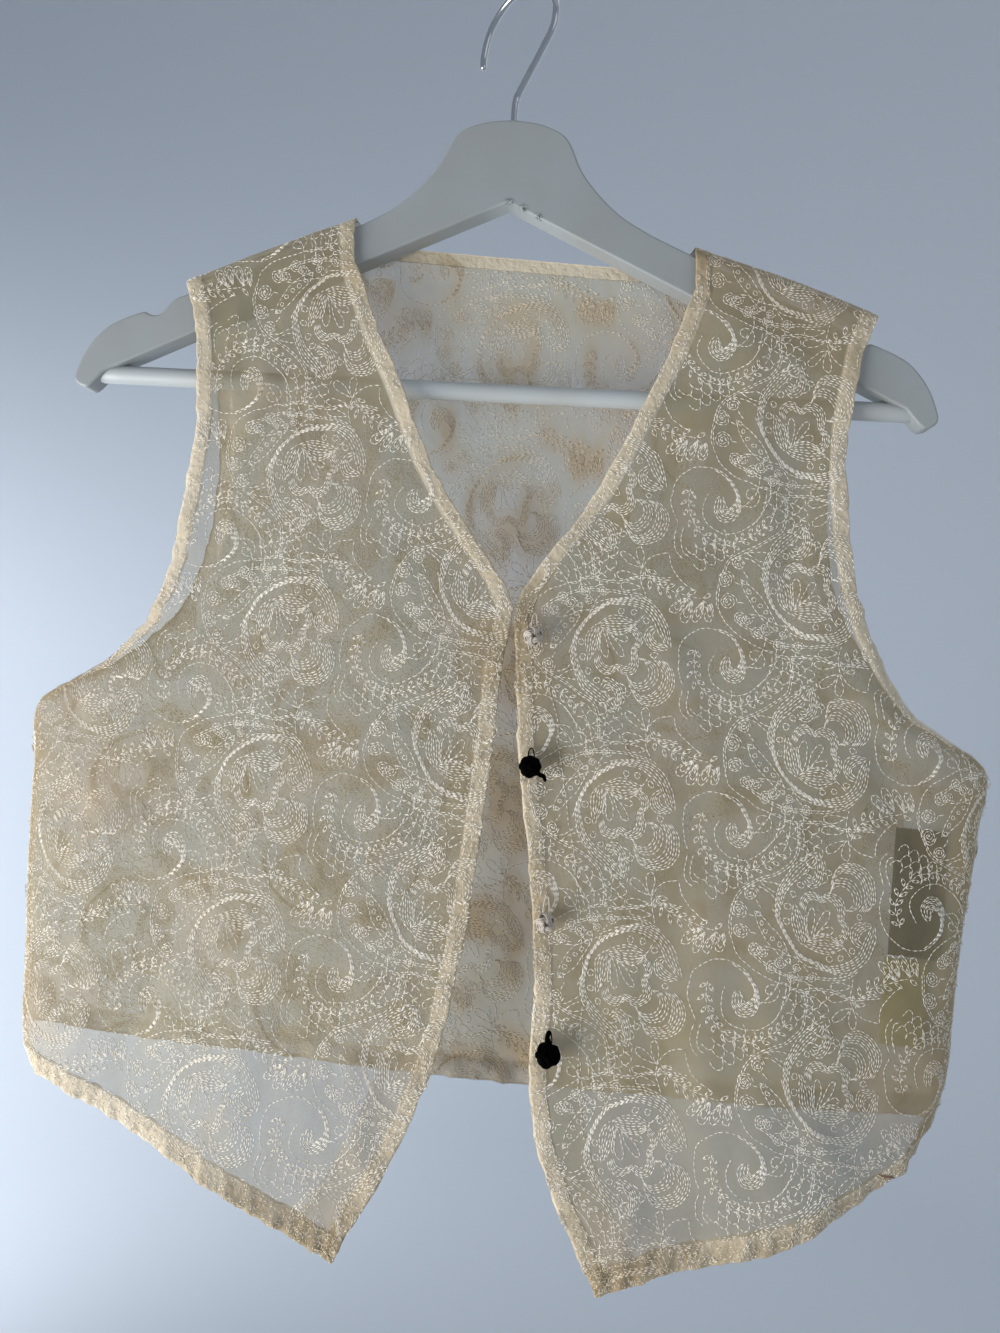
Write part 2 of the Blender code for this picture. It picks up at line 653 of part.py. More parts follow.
def build_hanger_wood(collection, cutters):
    """The hanger's flat shaped wood, bored for the bar and the hook."""
    half = [(x * MM, z * MM) for x, z in HANGER_OUTLINE_MM]
    outline = half + [(-x, z) for x, z in half[-2:0:-1]]
    data = bpy.data.curves.new("hanger_wood", "CURVE")
    data.dimensions = "2D"
    data.fill_mode = "BOTH"
    data.extrude = WOOD_THICK / 2.0 - WOOD_EDGE
    data.bevel_depth = WOOD_EDGE
    data.bevel_resolution = 1
    data.offset = -WOOD_EDGE
    spline = data.splines.new("POLY")
    spline.points.add(len(outline) - 1)
    for point, (x, z) in zip(spline.points, outline):
        point.co = (x, z, 0.0, 1.0)
    spline.use_cyclic_u = True
    curve = bpy.data.objects.new("hanger_wood", data)
    collection.objects.link(curve)
    bpy.context.view_layer.update()
    wood = curve_to_mesh(curve, collection, "painted_wood")
    wood.data.transform(Matrix.Rotation(math.radians(90.0), 4, "X"))
    wood.data.update()
    across = (SOCKET_END, 0.0, BAR_HEIGHT)
    socket = cutter(
        "bar_socket", BAR_RADIUS + GAP, (-SOCKET_END, 0.0, BAR_HEIGHT), across, cutters
    )
    hole = cutter("hook_hole", HOOK_WIRE + GAP, (0, 0, HOOK_HOLE_FOOT), (0, 0, -0.05), cutters)
    cut(wood, socket)
    cut(wood, hole)
    return wood


def build_hanger_bar(collection):
    """The round bar across the foot of the hanger."""
    bpy.ops.mesh.primitive_cylinder_add(
        vertices=28,
        radius=BAR_RADIUS,
        depth=2.0 * BAR_HALF,
        location=(0.0, 0.0, BAR_HEIGHT),
        rotation=(0.0, math.radians(90.0), 0.0),
    )
    bar = bpy.context.object
    bar.name = "hanger_bar"
    move_to(bar, collection)
    bar.data.shade_smooth()
    bar.data.set_sharp_from_angle(angle=math.radians(40.0))
    bar.data.materials.append(finish("painted_wood"))
    return bar


def smooth_path(points, steps):
    """Run a smooth line through the points of a table."""
    points = np.asarray(points, float)
    padded = np.concatenate([points[:1], points, points[-1:]])
    out = []
    for i in range(len(points) - 1):
        a, b, c, d = padded[i : i + 4]
        for t in np.linspace(0.0, 1.0, steps, endpoint=False):
            out.append(
                0.5
                * (
                    2.0 * b
                    + (c - a) * t
                    + (2.0 * a - 5.0 * b + 4.0 * c - d) * t**2
                    + (3.0 * b - a - 3.0 * c + d) * t**3
                )
            )
    out.append(points[-1])
    return np.array(out)


def build_hook(collection):
    """The wire hook, turned on its shaft, its lowest inner point of the bend at the origin."""
    path = smooth_path(HOOK_MM, 3) * MM
    data = bpy.data.curves.new("hanger_hook", "CURVE")
    data.dimensions = "3D"
    data.bevel_depth = HOOK_WIRE
    data.bevel_resolution = 2
    data.use_fill_caps = True
    spline = data.splines.new("POLY")
    spline.points.add(len(path) - 1)
    for point, (out, up) in zip(spline.points, path):
        x, y = out * math.cos(HOOK_SWIVEL), -out * math.sin(HOOK_SWIVEL)
        point.co = (x, y, up, 1.0)
    curve = bpy.data.objects.new("hanger_hook", data)
    collection.objects.link(curve)
    bpy.context.view_layer.update()
    hook = curve_to_mesh(curve, collection, "wire")
    hook.data.shade_smooth()
    return hook


def main():
    """Build the waistcoat and its hanger."""
    clear_scene()
    waistcoat = new_collection("embroidered_waistcoat")
    cutters = new_collection("cutters")
    build_hanger_wood(waistcoat, cutters)
    build_hanger_bar(waistcoat)
    build_hook(waistcoat)
    back, back_normal = build_back(waistcoat)
    build_front("right", RIGHT_FRONT_ROWS, waistcoat)
    left, left_normal = build_front("left", LEFT_FRONT_ROWS, waistcoat)
    build_buttons(left, left_normal, waistcoat)
    build_labels(back, back_normal, waistcoat)
    bpy.context.view_layer.update()


main()
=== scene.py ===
"""Looks of the embroidered silk waistcoat and the painted hanger that holds it.

The cloth pieces are thin sheer shells on the forms of their solids, with creases and puckered
edges. The embroidery is real stitches, laid from a chart of flowers, scrolls, sprays and
berries. Lengths in the tables are millimetres, everything else is metres.
"""

from __future__ import annotations

import itertools
import logging
import math
from dataclasses import dataclass, field
from enum import Enum
from typing import ClassVar

import bmesh
import bpy
import numpy as np
from bpy.types import ID, Material, Mesh, Node, NodeSocket, NodeTree, Object
from mathutils import Matrix, Vector

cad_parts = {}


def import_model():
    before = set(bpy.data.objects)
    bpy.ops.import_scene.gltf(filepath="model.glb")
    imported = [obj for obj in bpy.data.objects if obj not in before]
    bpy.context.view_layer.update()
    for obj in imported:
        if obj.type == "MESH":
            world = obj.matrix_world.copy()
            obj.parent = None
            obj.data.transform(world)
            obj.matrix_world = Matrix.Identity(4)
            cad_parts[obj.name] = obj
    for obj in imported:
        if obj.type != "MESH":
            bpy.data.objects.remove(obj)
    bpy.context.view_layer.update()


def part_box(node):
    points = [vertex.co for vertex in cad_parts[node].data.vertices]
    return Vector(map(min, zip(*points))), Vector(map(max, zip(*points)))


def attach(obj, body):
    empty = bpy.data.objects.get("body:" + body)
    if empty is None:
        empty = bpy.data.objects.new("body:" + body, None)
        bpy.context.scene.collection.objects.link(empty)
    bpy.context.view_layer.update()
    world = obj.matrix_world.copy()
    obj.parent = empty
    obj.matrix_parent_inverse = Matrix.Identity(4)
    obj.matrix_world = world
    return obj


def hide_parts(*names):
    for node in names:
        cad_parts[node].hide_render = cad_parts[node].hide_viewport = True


LOG = logging.getLogger("waistcoat")
MM = 0.001
GOLDEN_TURN = 2.399963
Array = np.ndarray
Triple = tuple[float, float, float]


class Side(Enum):
    """Side of the wearer."""

    RIGHT = "right"
    LEFT = "left"


# ------------------------------------------------------------------ shape helpers
def link_new(name: str, data: ID) -> Object:
    """Put new data into the scene as an object."""
    obj = bpy.data.objects.new(name, data)
    bpy.context.scene.collection.objects.link(obj)
    return obj


def make_mesh(name: str, verts: Array, faces: Array, material: Material) -> Object:
    """Put whole arrays of points and faces into a new smooth object at the origin.

    Args:
        name: Name of the piece.
        verts: Points, one row each.
        faces: Corner indices, one row for each face, all with as many corners.
        material: Its material.

    Returns:
        The object.
    """
    mesh = bpy.data.meshes.new(name)
    mesh.vertices.add(len(verts))
    mesh.vertices.foreach_set("co", np.ascontiguousarray(verts, np.float32).ravel())
    mesh.loops.add(faces.size)
    mesh.loops.foreach_set("vertex_index", np.ascontiguousarray(faces, np.int32).ravel())
    mesh.polygons.add(len(faces))
    mesh.polygons.foreach_set("loop_start", np.arange(len(faces), dtype=np.int32) * faces.shape[1])
    mesh.polygons.foreach_set("use_smooth", np.ones(len(faces), bool))
    mesh.update(calc_edges=True)
    mesh.validate()
    mesh.materials.append(material)
    return link_new(name, mesh)


def point_values(obj: Object, name: str, values: Array) -> None:
    """Store a number for each point of a piece, for the materials to read."""
    layer = obj.data.attributes.new(name, "FLOAT", "POINT")
    layer.data.foreach_set("value", np.ascontiguousarray(values, np.float32).ravel())


def unit(vectors: Array) -> Array:
    """Scale vectors to a length of one."""
    return vectors / np.maximum(np.linalg.norm(vectors, axis=-1, keepdims=True), 1e-12)


def heading(degrees: float) -> Array:
    """Unit vector of the plane at an angle in degrees."""
    angle = math.radians(degrees)
    return np.array([math.cos(angle), math.sin(angle)])


def run_lengths(points: Array, axis: int = 0) -> Array:
    """Lengths run from the first point to each other one, along one axis of a grid."""
    step = np.linalg.norm(np.diff(points, axis=axis), axis=-1)
    return np.concatenate([np.zeros_like(step.take([0], axis)), np.cumsum(step, axis)], axis)


def sheet_shell(
    name: str, outer: Array, inner: Array, material: Material, values: dict[str, Array]
) -> Object:
    """Close two grids of points into the thin wall of a cloth piece.

    Formula: quads join neighbours on each grid, the inner grid's turned the other way, and a
    rim of quads joins the two grids round their border.

    Args:
        name: Name of the piece.
        outer: Grid of outer points, levels by columns by 3.
        inner: Grid of inner points of the same shape.
        material: Its material.
        values: Grids of values for the materials, by attribute name.

    Returns:
        The closed shell.
    """
    down, across = outer.shape[:2]
    count = down * across
    index = np.arange(count).reshape(down, across)
    a, b = index[:-1, :-1].ravel(), index[:-1, 1:].ravel()
    c, d = index[1:, 1:].ravel(), index[1:, :-1].ravel()
    rim = np.concatenate([index[0], index[1:, -1], index[-1, -2::-1], index[-2:0:-1, 0]])
    after = np.roll(rim, -1)
    border = np.stack([after, rim, rim + count, after + count], 1)
    faces = np.concatenate([np.stack([a, b, c, d], 1), np.stack([a, d, c, b], 1) + count, border])
    i, j = down // 2, across // 2
    turn = np.cross(outer[i, j + 1] - outer[i, j], outer[i + 1, j] - outer[i, j])
    if np.dot(turn, outer[i, j] - inner[i, j]) <= 0.0:
        faces = faces[:, ::-1]
    verts = np.concatenate([outer.reshape(-1, 3), inner.reshape(-1, 3)])
    obj = make_mesh(name, verts, faces, material)
    for key, grid in values.items():
        point_values(obj, key, np.tile(grid.ravel(), 2))
    point_values(obj, "wall", np.arange(2 * count) < count)
    return obj


def tube(
    name: str, path: Array, radius: Array, around: int, material: Material, closed: bool = False
) -> Object:
    """Carry a circle along a path.

    Formula: at each point of the path the circle lies in the plane square to the path, spanned
    by a side direction that is carried along with the least turning. An open path gets two
    smaller rings and a tip at each end, which round it off.

    Args:
        name: Name of the piece.
        path: Points of the path.
        radius: Radius at each point.
        around: Corners of the circle.
        material: Its material.
        closed: Whether the path's end joins its start.

    Returns:
        The closed tube.
    """
    along = np.roll(path, -1, 0) - np.roll(path, 1, 0) if closed else np.gradient(path, axis=0)
    along = unit(along)
    side = unit(np.cross(along, carried_side(along, closed)))
    up = np.cross(side, along)
    if not closed:
        ends = np.array([-0.92, -0.55])
        shrink = np.sqrt(1.0 - ends**2)
        head = path[0] + along[0] * (ends * radius[0])[:, None]
        foot = path[-1] - along[-1] * (ends[::-1] * radius[-1])[:, None]
        path = np.concatenate([head, path, foot])
        radius = np.concatenate([shrink * radius[0], radius, shrink[::-1] * radius[-1]])
        side, up = (np.pad(vectors, ((2, 2), (0, 0)), mode="edge") for vectors in (side, up))
    angle = np.linspace(0.0, 2.0 * math.pi, around, endpoint=False)
    ring = side[:, None] * np.cos(angle)[:, None] + up[:, None] * np.sin(angle)[:, None]
    verts = (path[:, None] + ring * radius[:, None, None]).reshape(-1, 3)
    index = np.arange(len(verts)).reshape(len(path), around)
    a = index if closed else index[:-1]
    b = np.roll(index, -1, 0) if closed else index[1:]
    faces = np.stack([a, np.roll(a, -1, 1), np.roll(b, -1, 1), b], 2).reshape(-1, 4)
    if not closed:
        tips = [path[0] - along[0] * 0.08 * radius[2], path[-1] + along[-1] * 0.08 * radius[-3]]
        tip = np.full(around, len(verts))
        verts = np.concatenate([verts, tips])
        first = np.stack([np.roll(index[0], -1), index[0], tip], 1)
        last = np.stack([index[-1], np.roll(index[-1], -1), tip + 1], 1)
        faces = np.concatenate([faces[:, [0, 1, 2]], faces[:, [0, 2, 3]], first, last])
    return make_mesh(name, verts, faces[:, ::-1], material)


def carried_side(along: Array, closed: bool) -> Array:
    """Find a direction that is never along the path, one for each of its unit directions."""
    if closed:
        return np.tile(np.array([0.13, 0.91, 0.39]), (len(along), 1))
    level = np.array([0.37, 0.53, 0.0])
    weak = np.linalg.norm(np.cross(along, level), axis=1, keepdims=True) < 0.2
    return np.where(weak, np.array([0.0, 0.0, 1.0]), level)


def smooth_path(points: Array, steps: int) -> Array:
    """Run a smooth line through a few points.

    Formula: between each two points, the cubic that also heeds the point before and after.

    Args:
        points: The points.
        steps: Points made for each stretch.

    Returns:
        The line's points.
    """
    points = np.asarray(points, float)
    padded = np.concatenate([points[:1], points, points[-1:]])
    t = np.linspace(0.0, 1.0, steps, endpoint=False)[None, :, None]
    a, b, c, d = (padded[k : k + len(points) - 1][:, None] for k in range(4))
    square, cube = 2.0 * a - 5.0 * b + 4.0 * c - d, 3.0 * b - a - 3.0 * c + d
    line = 0.5 * (2.0 * b + (c - a) * t + square * t**2 + cube * t**3)
    return np.concatenate([line.reshape(-1, points.shape[1]), points[-1:]])


def ripple(x: Array, z: Array, size: float, seed: float) -> Array:
    """Smooth uneven ripple between about -1 and 1.

    Formula: the mean of five sine waves whose directions turn by the golden angle and whose
    lengths lie between 0.6 and 1.7 times the size.

    Args:
        x: First coordinate in metres.
        z: Second coordinate in metres.
        size: Length of the middle wave in metres.
        seed: Shifts the pattern.

    Returns:
        The height of the ripple at each point.
    """
    total = np.zeros(np.broadcast(x, z).shape)
    for k, stretch in enumerate((1.7, 1.3, 1.0, 0.8, 0.6)):
        turn = GOLDEN_TURN * k + seed
        reach = (x * math.cos(turn) + z * math.sin(turn)) * 2.0 * math.pi / (size * stretch)
        total += np.sin(reach + 5.1 * k * seed + 1.7 * k)
    return total / 2.6


def smoothstep(share: Array) -> Array:
    """Ease from 0 to 1 as the share goes from 0 to 1."""
    held = np.clip(share, 0.0, 1.0)
    return held * held * (3.0 - 2.0 * held)


# ------------------------------------------------------------------ finishes
@dataclass(frozen=True)
class Tint:
    """Colours of a finish: clean, and the second one where it has turned yellow or shows wear, or where it
    is painted on as shade.
    """

    clean: Triple
    aged: Triple

    def sockets(self) -> tuple[tuple[float, ...], tuple[float, ...]]:
        """Both colours with an alpha of one."""
        return (*self.clean, 1.0), (*self.aged, 1.0)


Value = NodeSocket | float | tuple[float, ...]


class Nodes:
    """Adds nodes to one tree, each with its inputs linked or set by name."""

    def __init__(self, tree: NodeTree) -> None:
        """Work on a tree."""
        self.tree = tree

    def fill(self, node: Node, inputs: dict[str | int, Value]) -> None:
        """Link sockets to a node's inputs, or set the constants there."""
        for key, value in inputs.items():
            if isinstance(value, NodeSocket):
                self.tree.links.new(value, node.inputs[key])
            else:
                node.inputs[key].default_value = value

    def node(self, kind: str, inputs: dict[str | int, Value], **options: str | bool | NodeTree) -> Node:
        """Add a node, with its options set before its inputs are filled."""
        node = self.tree.nodes.new(f"ShaderNode{kind}")
        for key, value in options.items():
            setattr(node, key, value)
        self.fill(node, inputs)
        return node

    def ramp(self, source: NodeSocket, low: Value, high: Value, first: Value, last: Value) -> NodeSocket:
        """Map a value from one range to another, held at both ends.

        Args:
            source: The value.
            low: Value that gives the first result.
            high: Value that gives the last result.
            first: First result.
            last: Last result.

        Returns:
            The mapped value.
        """
        ranges = {"From Min": low, "From Max": high, "To Min": first, "To Max": last}
        return self.node("MapRange", {"Value": source, **ranges}).outputs["Result"]

    def flip(self, source: NodeSocket, last: Value = 0.0) -> NodeSocket:
        """Map 0 to 1 and 1 to the last result."""
        return self.ramp(source, 0.0, 1.0, 1.0, last)

    def maths(self, kind: str, first: NodeSocket, second: Value, held: bool = True) -> NodeSocket:
        """Combine two values.

        Args:
            kind: Operation of the math node.
            first: First value.
            second: Second value, or a constant.
            held: Whether the result is held between 0 and 1.

        Returns:
            The result.
        """
        return self.node("Math", {0: first, 1: second}, operation=kind, use_clamp=held).outputs["Value"]

    def blend(self, mask: NodeSocket, first: Value, second: Value) -> NodeSocket:
        """Blend two colours, with the mask as the share of the second."""
        return self.node("Mix", {0: mask, 6: first, 7: second}, data_type="RGBA").outputs[2]


class Effect(Nodes):
    """A look that several materials share: a node group with named inputs and one output."""

    def __init__(self, name: str, inputs: dict[str, str], output: tuple[str, str]) -> None:
        """Start the group with its sockets.

        Args:
            name: Name of the group.
            inputs: Names of its inputs, separated by spaces, for each kind of socket.
            output: Name and kind of its output.
        """
        super().__init__(bpy.data.node_groups.new(name, "ShaderNodeTree"))
        sockets = self.tree.interface
        for kind, names in inputs.items():
            for key in names.split():
                sockets.new_socket(key, in_out="INPUT", socket_type=f"NodeSocket{kind}")
        sockets.new_socket(output[0], in_out="OUTPUT", socket_type=f"NodeSocket{output[1]}")
        self.given = self.tree.nodes.new("NodeGroupInput").outputs
        self.end = self.tree.nodes.new("NodeGroupOutput")

    def give(self, value: NodeSocket) -> NodeTree:
        """Put a value out of the group, and hand the group over."""
        self.fill(self.end, {0: value})
        return self.tree


class Effects:
    """The shared looks of the waistcoat's and the hanger's materials, each built once."""

    def __init__(self) -> None:
        """Build the groups."""
        self.unevenness = self.build_unevenness()
        self.yellowing_and_shade = self.build_yellowing_and_shade()
        self.cover = self.build_cover()

    @staticmethod
    def build_unevenness() -> NodeTree:
        """Noise over the object's own coordinates, mapped from one range to another."""
        numbers = "Scale Detail Low High First Last"
        work = Effect("unevenness", {"Vector": "Place Stretch", "Float": numbers}, ("Value", "Float"))
        given = work.given
        place = work.node("Mapping", {"Vector": given["Place"], "Scale": given["Stretch"]})
        inputs = {"Scale": given["Scale"], "Detail": given["Detail"], "Vector": place.outputs["Vector"]}
        noise = work.node("TexNoise", inputs).outputs["Fac"]
        return work.give(work.ramp(noise, *(given[key] for key in numbers.split()[2:])))

    @staticmethod
    def build_yellowing_and_shade() -> NodeTree:
        """Clean colour going over to the second one where the thread or cloth has turned yellow, or where
        it is painted darker as shade.
        """
        inputs = {"Float": "Aged Uneven", "Color": "Clean Worn"}
        work = Effect("yellowing_and_shade", inputs, ("Colour", "Color"))
        given = work.given
        mask = work.maths("ADD", given["Aged"], given["Uneven"])
        return work.give(work.blend(mask, given["Clean"], given["Worn"]))

    @staticmethod
    def build_cover() -> NodeTree:
        """How much of the light a sheer cloth stops.

        Formula: one layer stops the open share, more edge on and where the cloth is dense; the
        shell's outer wall stops what two such layers would, and its inner wall nothing.

        Returns:
            The group.
        """
        inputs = {"Float": "Grazing Uneven Dense Wall Shadow Open Edge Shade"}
        work = Effect("sheer_cover", inputs, ("Cover", "Float"))
        given = work.given
        facing = work.ramp(given["Grazing"], 0.0, 1.0, given["Open"], given["Edge"])
        uneven = work.maths("ADD", facing, given["Uneven"], held=False)
        layer = work.maths("ADD", uneven, work.maths("MULTIPLY", given["Dense"], 0.5))
        both = work.flip(work.maths("POWER", work.flip(layer), 2.0))
        outer = work.maths("MULTIPLY", both, given["Wall"])
        return work.give(work.maths("MULTIPLY", outer, work.flip(given["Shadow"], given["Shade"])))


class Finisher(Nodes):
    """Makes the material of one finish, node by node."""

    def __init__(self, effects: Effects, name: str, roughness: float, metallic: float = 0.0) -> None:
        """Start the material from a plain shader.

        Args:
            effects: The shared looks.
            name: Name of the material.
            roughness: Its roughness.
            metallic: Whether it is metal.
        """
        self.effects = effects
        self.material = bpy.data.materials.new(name)
        self.material.use_nodes = True
        super().__init__(self.material.node_tree)
        self.shader = self.tree.nodes["Principled BSDF"]
        self.dress({"Roughness": roughness, "Metallic": metallic})
        self.place = self.node("TexCoord", {}).outputs["Object"]

    def dress(self, inputs: dict[str | int, Value]) -> None:
        """Link or set the shader's own inputs."""
        self.fill(self.shader, inputs)

    def uneven(
        self,
        scale: float,
        detail: float,
        seen: tuple[float, float] = (0.0, 1.0),
        given: tuple[float, float] = (0.0, 1.0),
        stretch: Triple = (1.0, 1.0, 1.0),
    ) -> NodeSocket:
        """Place the shared unevenness with its own values.

        Args:
            scale: Scale of the noise, in lumps a metre.
            detail: Finer levels added.
            seen: Values of the noise that give the first and last result.
            given: First and last result.
            stretch: Scale along each axis.

        Returns:
            The uneven value.
        """
        inputs = {"Place": self.place, "Stretch": stretch, "Scale": scale, "Detail": detail}
        inputs.update(zip(("Low", "High", "First", "Last"), (*seen, *given)))
        return self.node("Group", inputs, node_tree=self.effects.unevenness).outputs["Value"]

    def yellowed_and_shaded(self, tint: Tint, uneven: NodeSocket) -> NodeSocket:
        """Place the shared colour change, led by the piece's own value for turning yellow and for painted
        shade.
        """
        clean, worn_and_shade = tint.sockets()
        inputs = {"Aged": self.attribute("aged"), "Uneven": uneven, "Clean": clean, "Worn": worn_and_shade}
        return self.node("Group", inputs, node_tree=self.effects.yellowing_and_shade).outputs["Colour"]

    def attribute(self, name: str) -> NodeSocket:
        """Read a value stored on the piece's points."""
        return self.node("Attribute", {}, attribute_name=name).outputs["Fac"]

    def near(self, spots_mm: tuple[Triple, ...], reach_mm: float) -> NodeSocket:
        """Mark the surface near a few points with 1, fading to 0 at the reach.

        Args:
            spots_mm: The points.
            reach_mm: How far from each the mark goes.

        Returns:
            The marks' sum, held between 0 and 1.
        """
        total = None
        for spot in spots_mm:
            pair = {0: self.place, 1: tuple(value * MM for value in spot)}
            far = self.node("VectorMath", pair, operation="DISTANCE").outputs["Value"]
            mark = self.ramp(far, 0.0, reach_mm * MM, 1.0, 0.0)
            total = mark if total is None else self.maths("ADD", total, mark)
        return total

    def bump(self, height: NodeSocket, distance: float, strength: float) -> None:
        """Raise the surface by a value.

        Args:
            height: The value.
            distance: Height of the relief in metres.
            strength: Share of it that is shown.
        """
        relief = {"Height": height, "Distance": distance, "Strength": strength}
        self.dress({"Normal": self.node("Bump", relief).outputs["Normal"]})


@dataclass(frozen=True)
class ClothFinish:
    """A sheer cloth: its colours and how much of the light one layer of it stops."""

    name: str
    tint: Tint
    open_alpha: float
    edge_alpha: float
    doubled: Tint = Tint((0.87, 0.76, 0.57), (0.38, 0.29, 0.155))
    shade: float = 0.60  # share of the cloth's cover that throws a shadow; the rest glows through
    roughness: float = 0.75

    def make(self, effects: Effects) -> Material:
        """Make the material, denser edge on and paler there as a painted sheen, which reads a cloth shell's
        values.
        """
        work = Finisher(effects, self.name, self.roughness)
        facing = work.node("LayerWeight", {"Blend": 0.35}).outputs["Facing"]
        grazing, band = work.maths("POWER", facing, 1.6), work.attribute("band")
        blotch = work.uneven(16.0, 3.0, (0.40, 0.75), (0.0, 0.30))
        once, twice = (work.yellowed_and_shaded(tint, blotch) for tint in (self.tint, self.doubled))
        lighter = work.blend(work.maths("MULTIPLY", band, 0.8), once, twice)
        # Paler edge on: a painted sheen.
        paler = work.blend(work.maths("MULTIPLY", grazing, 0.6), lighter, twice)
        cover = {
            "Grazing": grazing,
            "Uneven": work.uneven(150.0, 1.0, (0.3, 0.7), (-0.03, 0.03), (1.0, 1.0, 0.25)),
            "Dense": work.attribute("dense"),
            "Wall": work.attribute("wall"),
            "Shadow": work.node("LightPath", {}).outputs["Is Shadow Ray"],
            "Open": self.open_alpha,
            "Edge": self.edge_alpha,
            "Shade": self.shade,
        }
        alpha = work.node("Group", cover, node_tree=effects.cover).outputs["Cover"]
        work.dress({"Base Color": paler, "Alpha": alpha, "Specular IOR Level": 0.25})
        work.dress({"Sheen Weight": 0.12, "Sheen Roughness": 0.4})
        crinkle = work.maths("MULTIPLY", work.uneven(330.0, 2.0), work.ramp(band, 0.0, 1.0, 0.12, 1.0))
        work.bump(crinkle, 0.0022, 0.55)
        return work.material


@dataclass(frozen=True)
class ThreadFinish:
    """A spun thread or cord: its colours, its gloss and the twist of its plies."""

    name: str
    tint: Tint
    roughness: float = 0.5
    sheen: float = 0.2
    twist: float = 0.0
    gloss: float = 0.5

    def make(self, effects: Effects) -> Material:
        """Make the material, which reads the point value "aged"."""
        work = Finisher(effects, self.name, self.roughness)
        colour = work.yellowed_and_shaded(self.tint, work.uneven(420.0, 2.0, (0.35, 0.7), (0.0, 0.22)))
        work.dress({"Base Color": colour, "Specular IOR Level": self.gloss, "Sheen Weight": self.sheen})
        if self.twist > 0.0:
            work.bump(work.uneven(2400.0, 2.0), self.twist, 0.8)
        return work.material


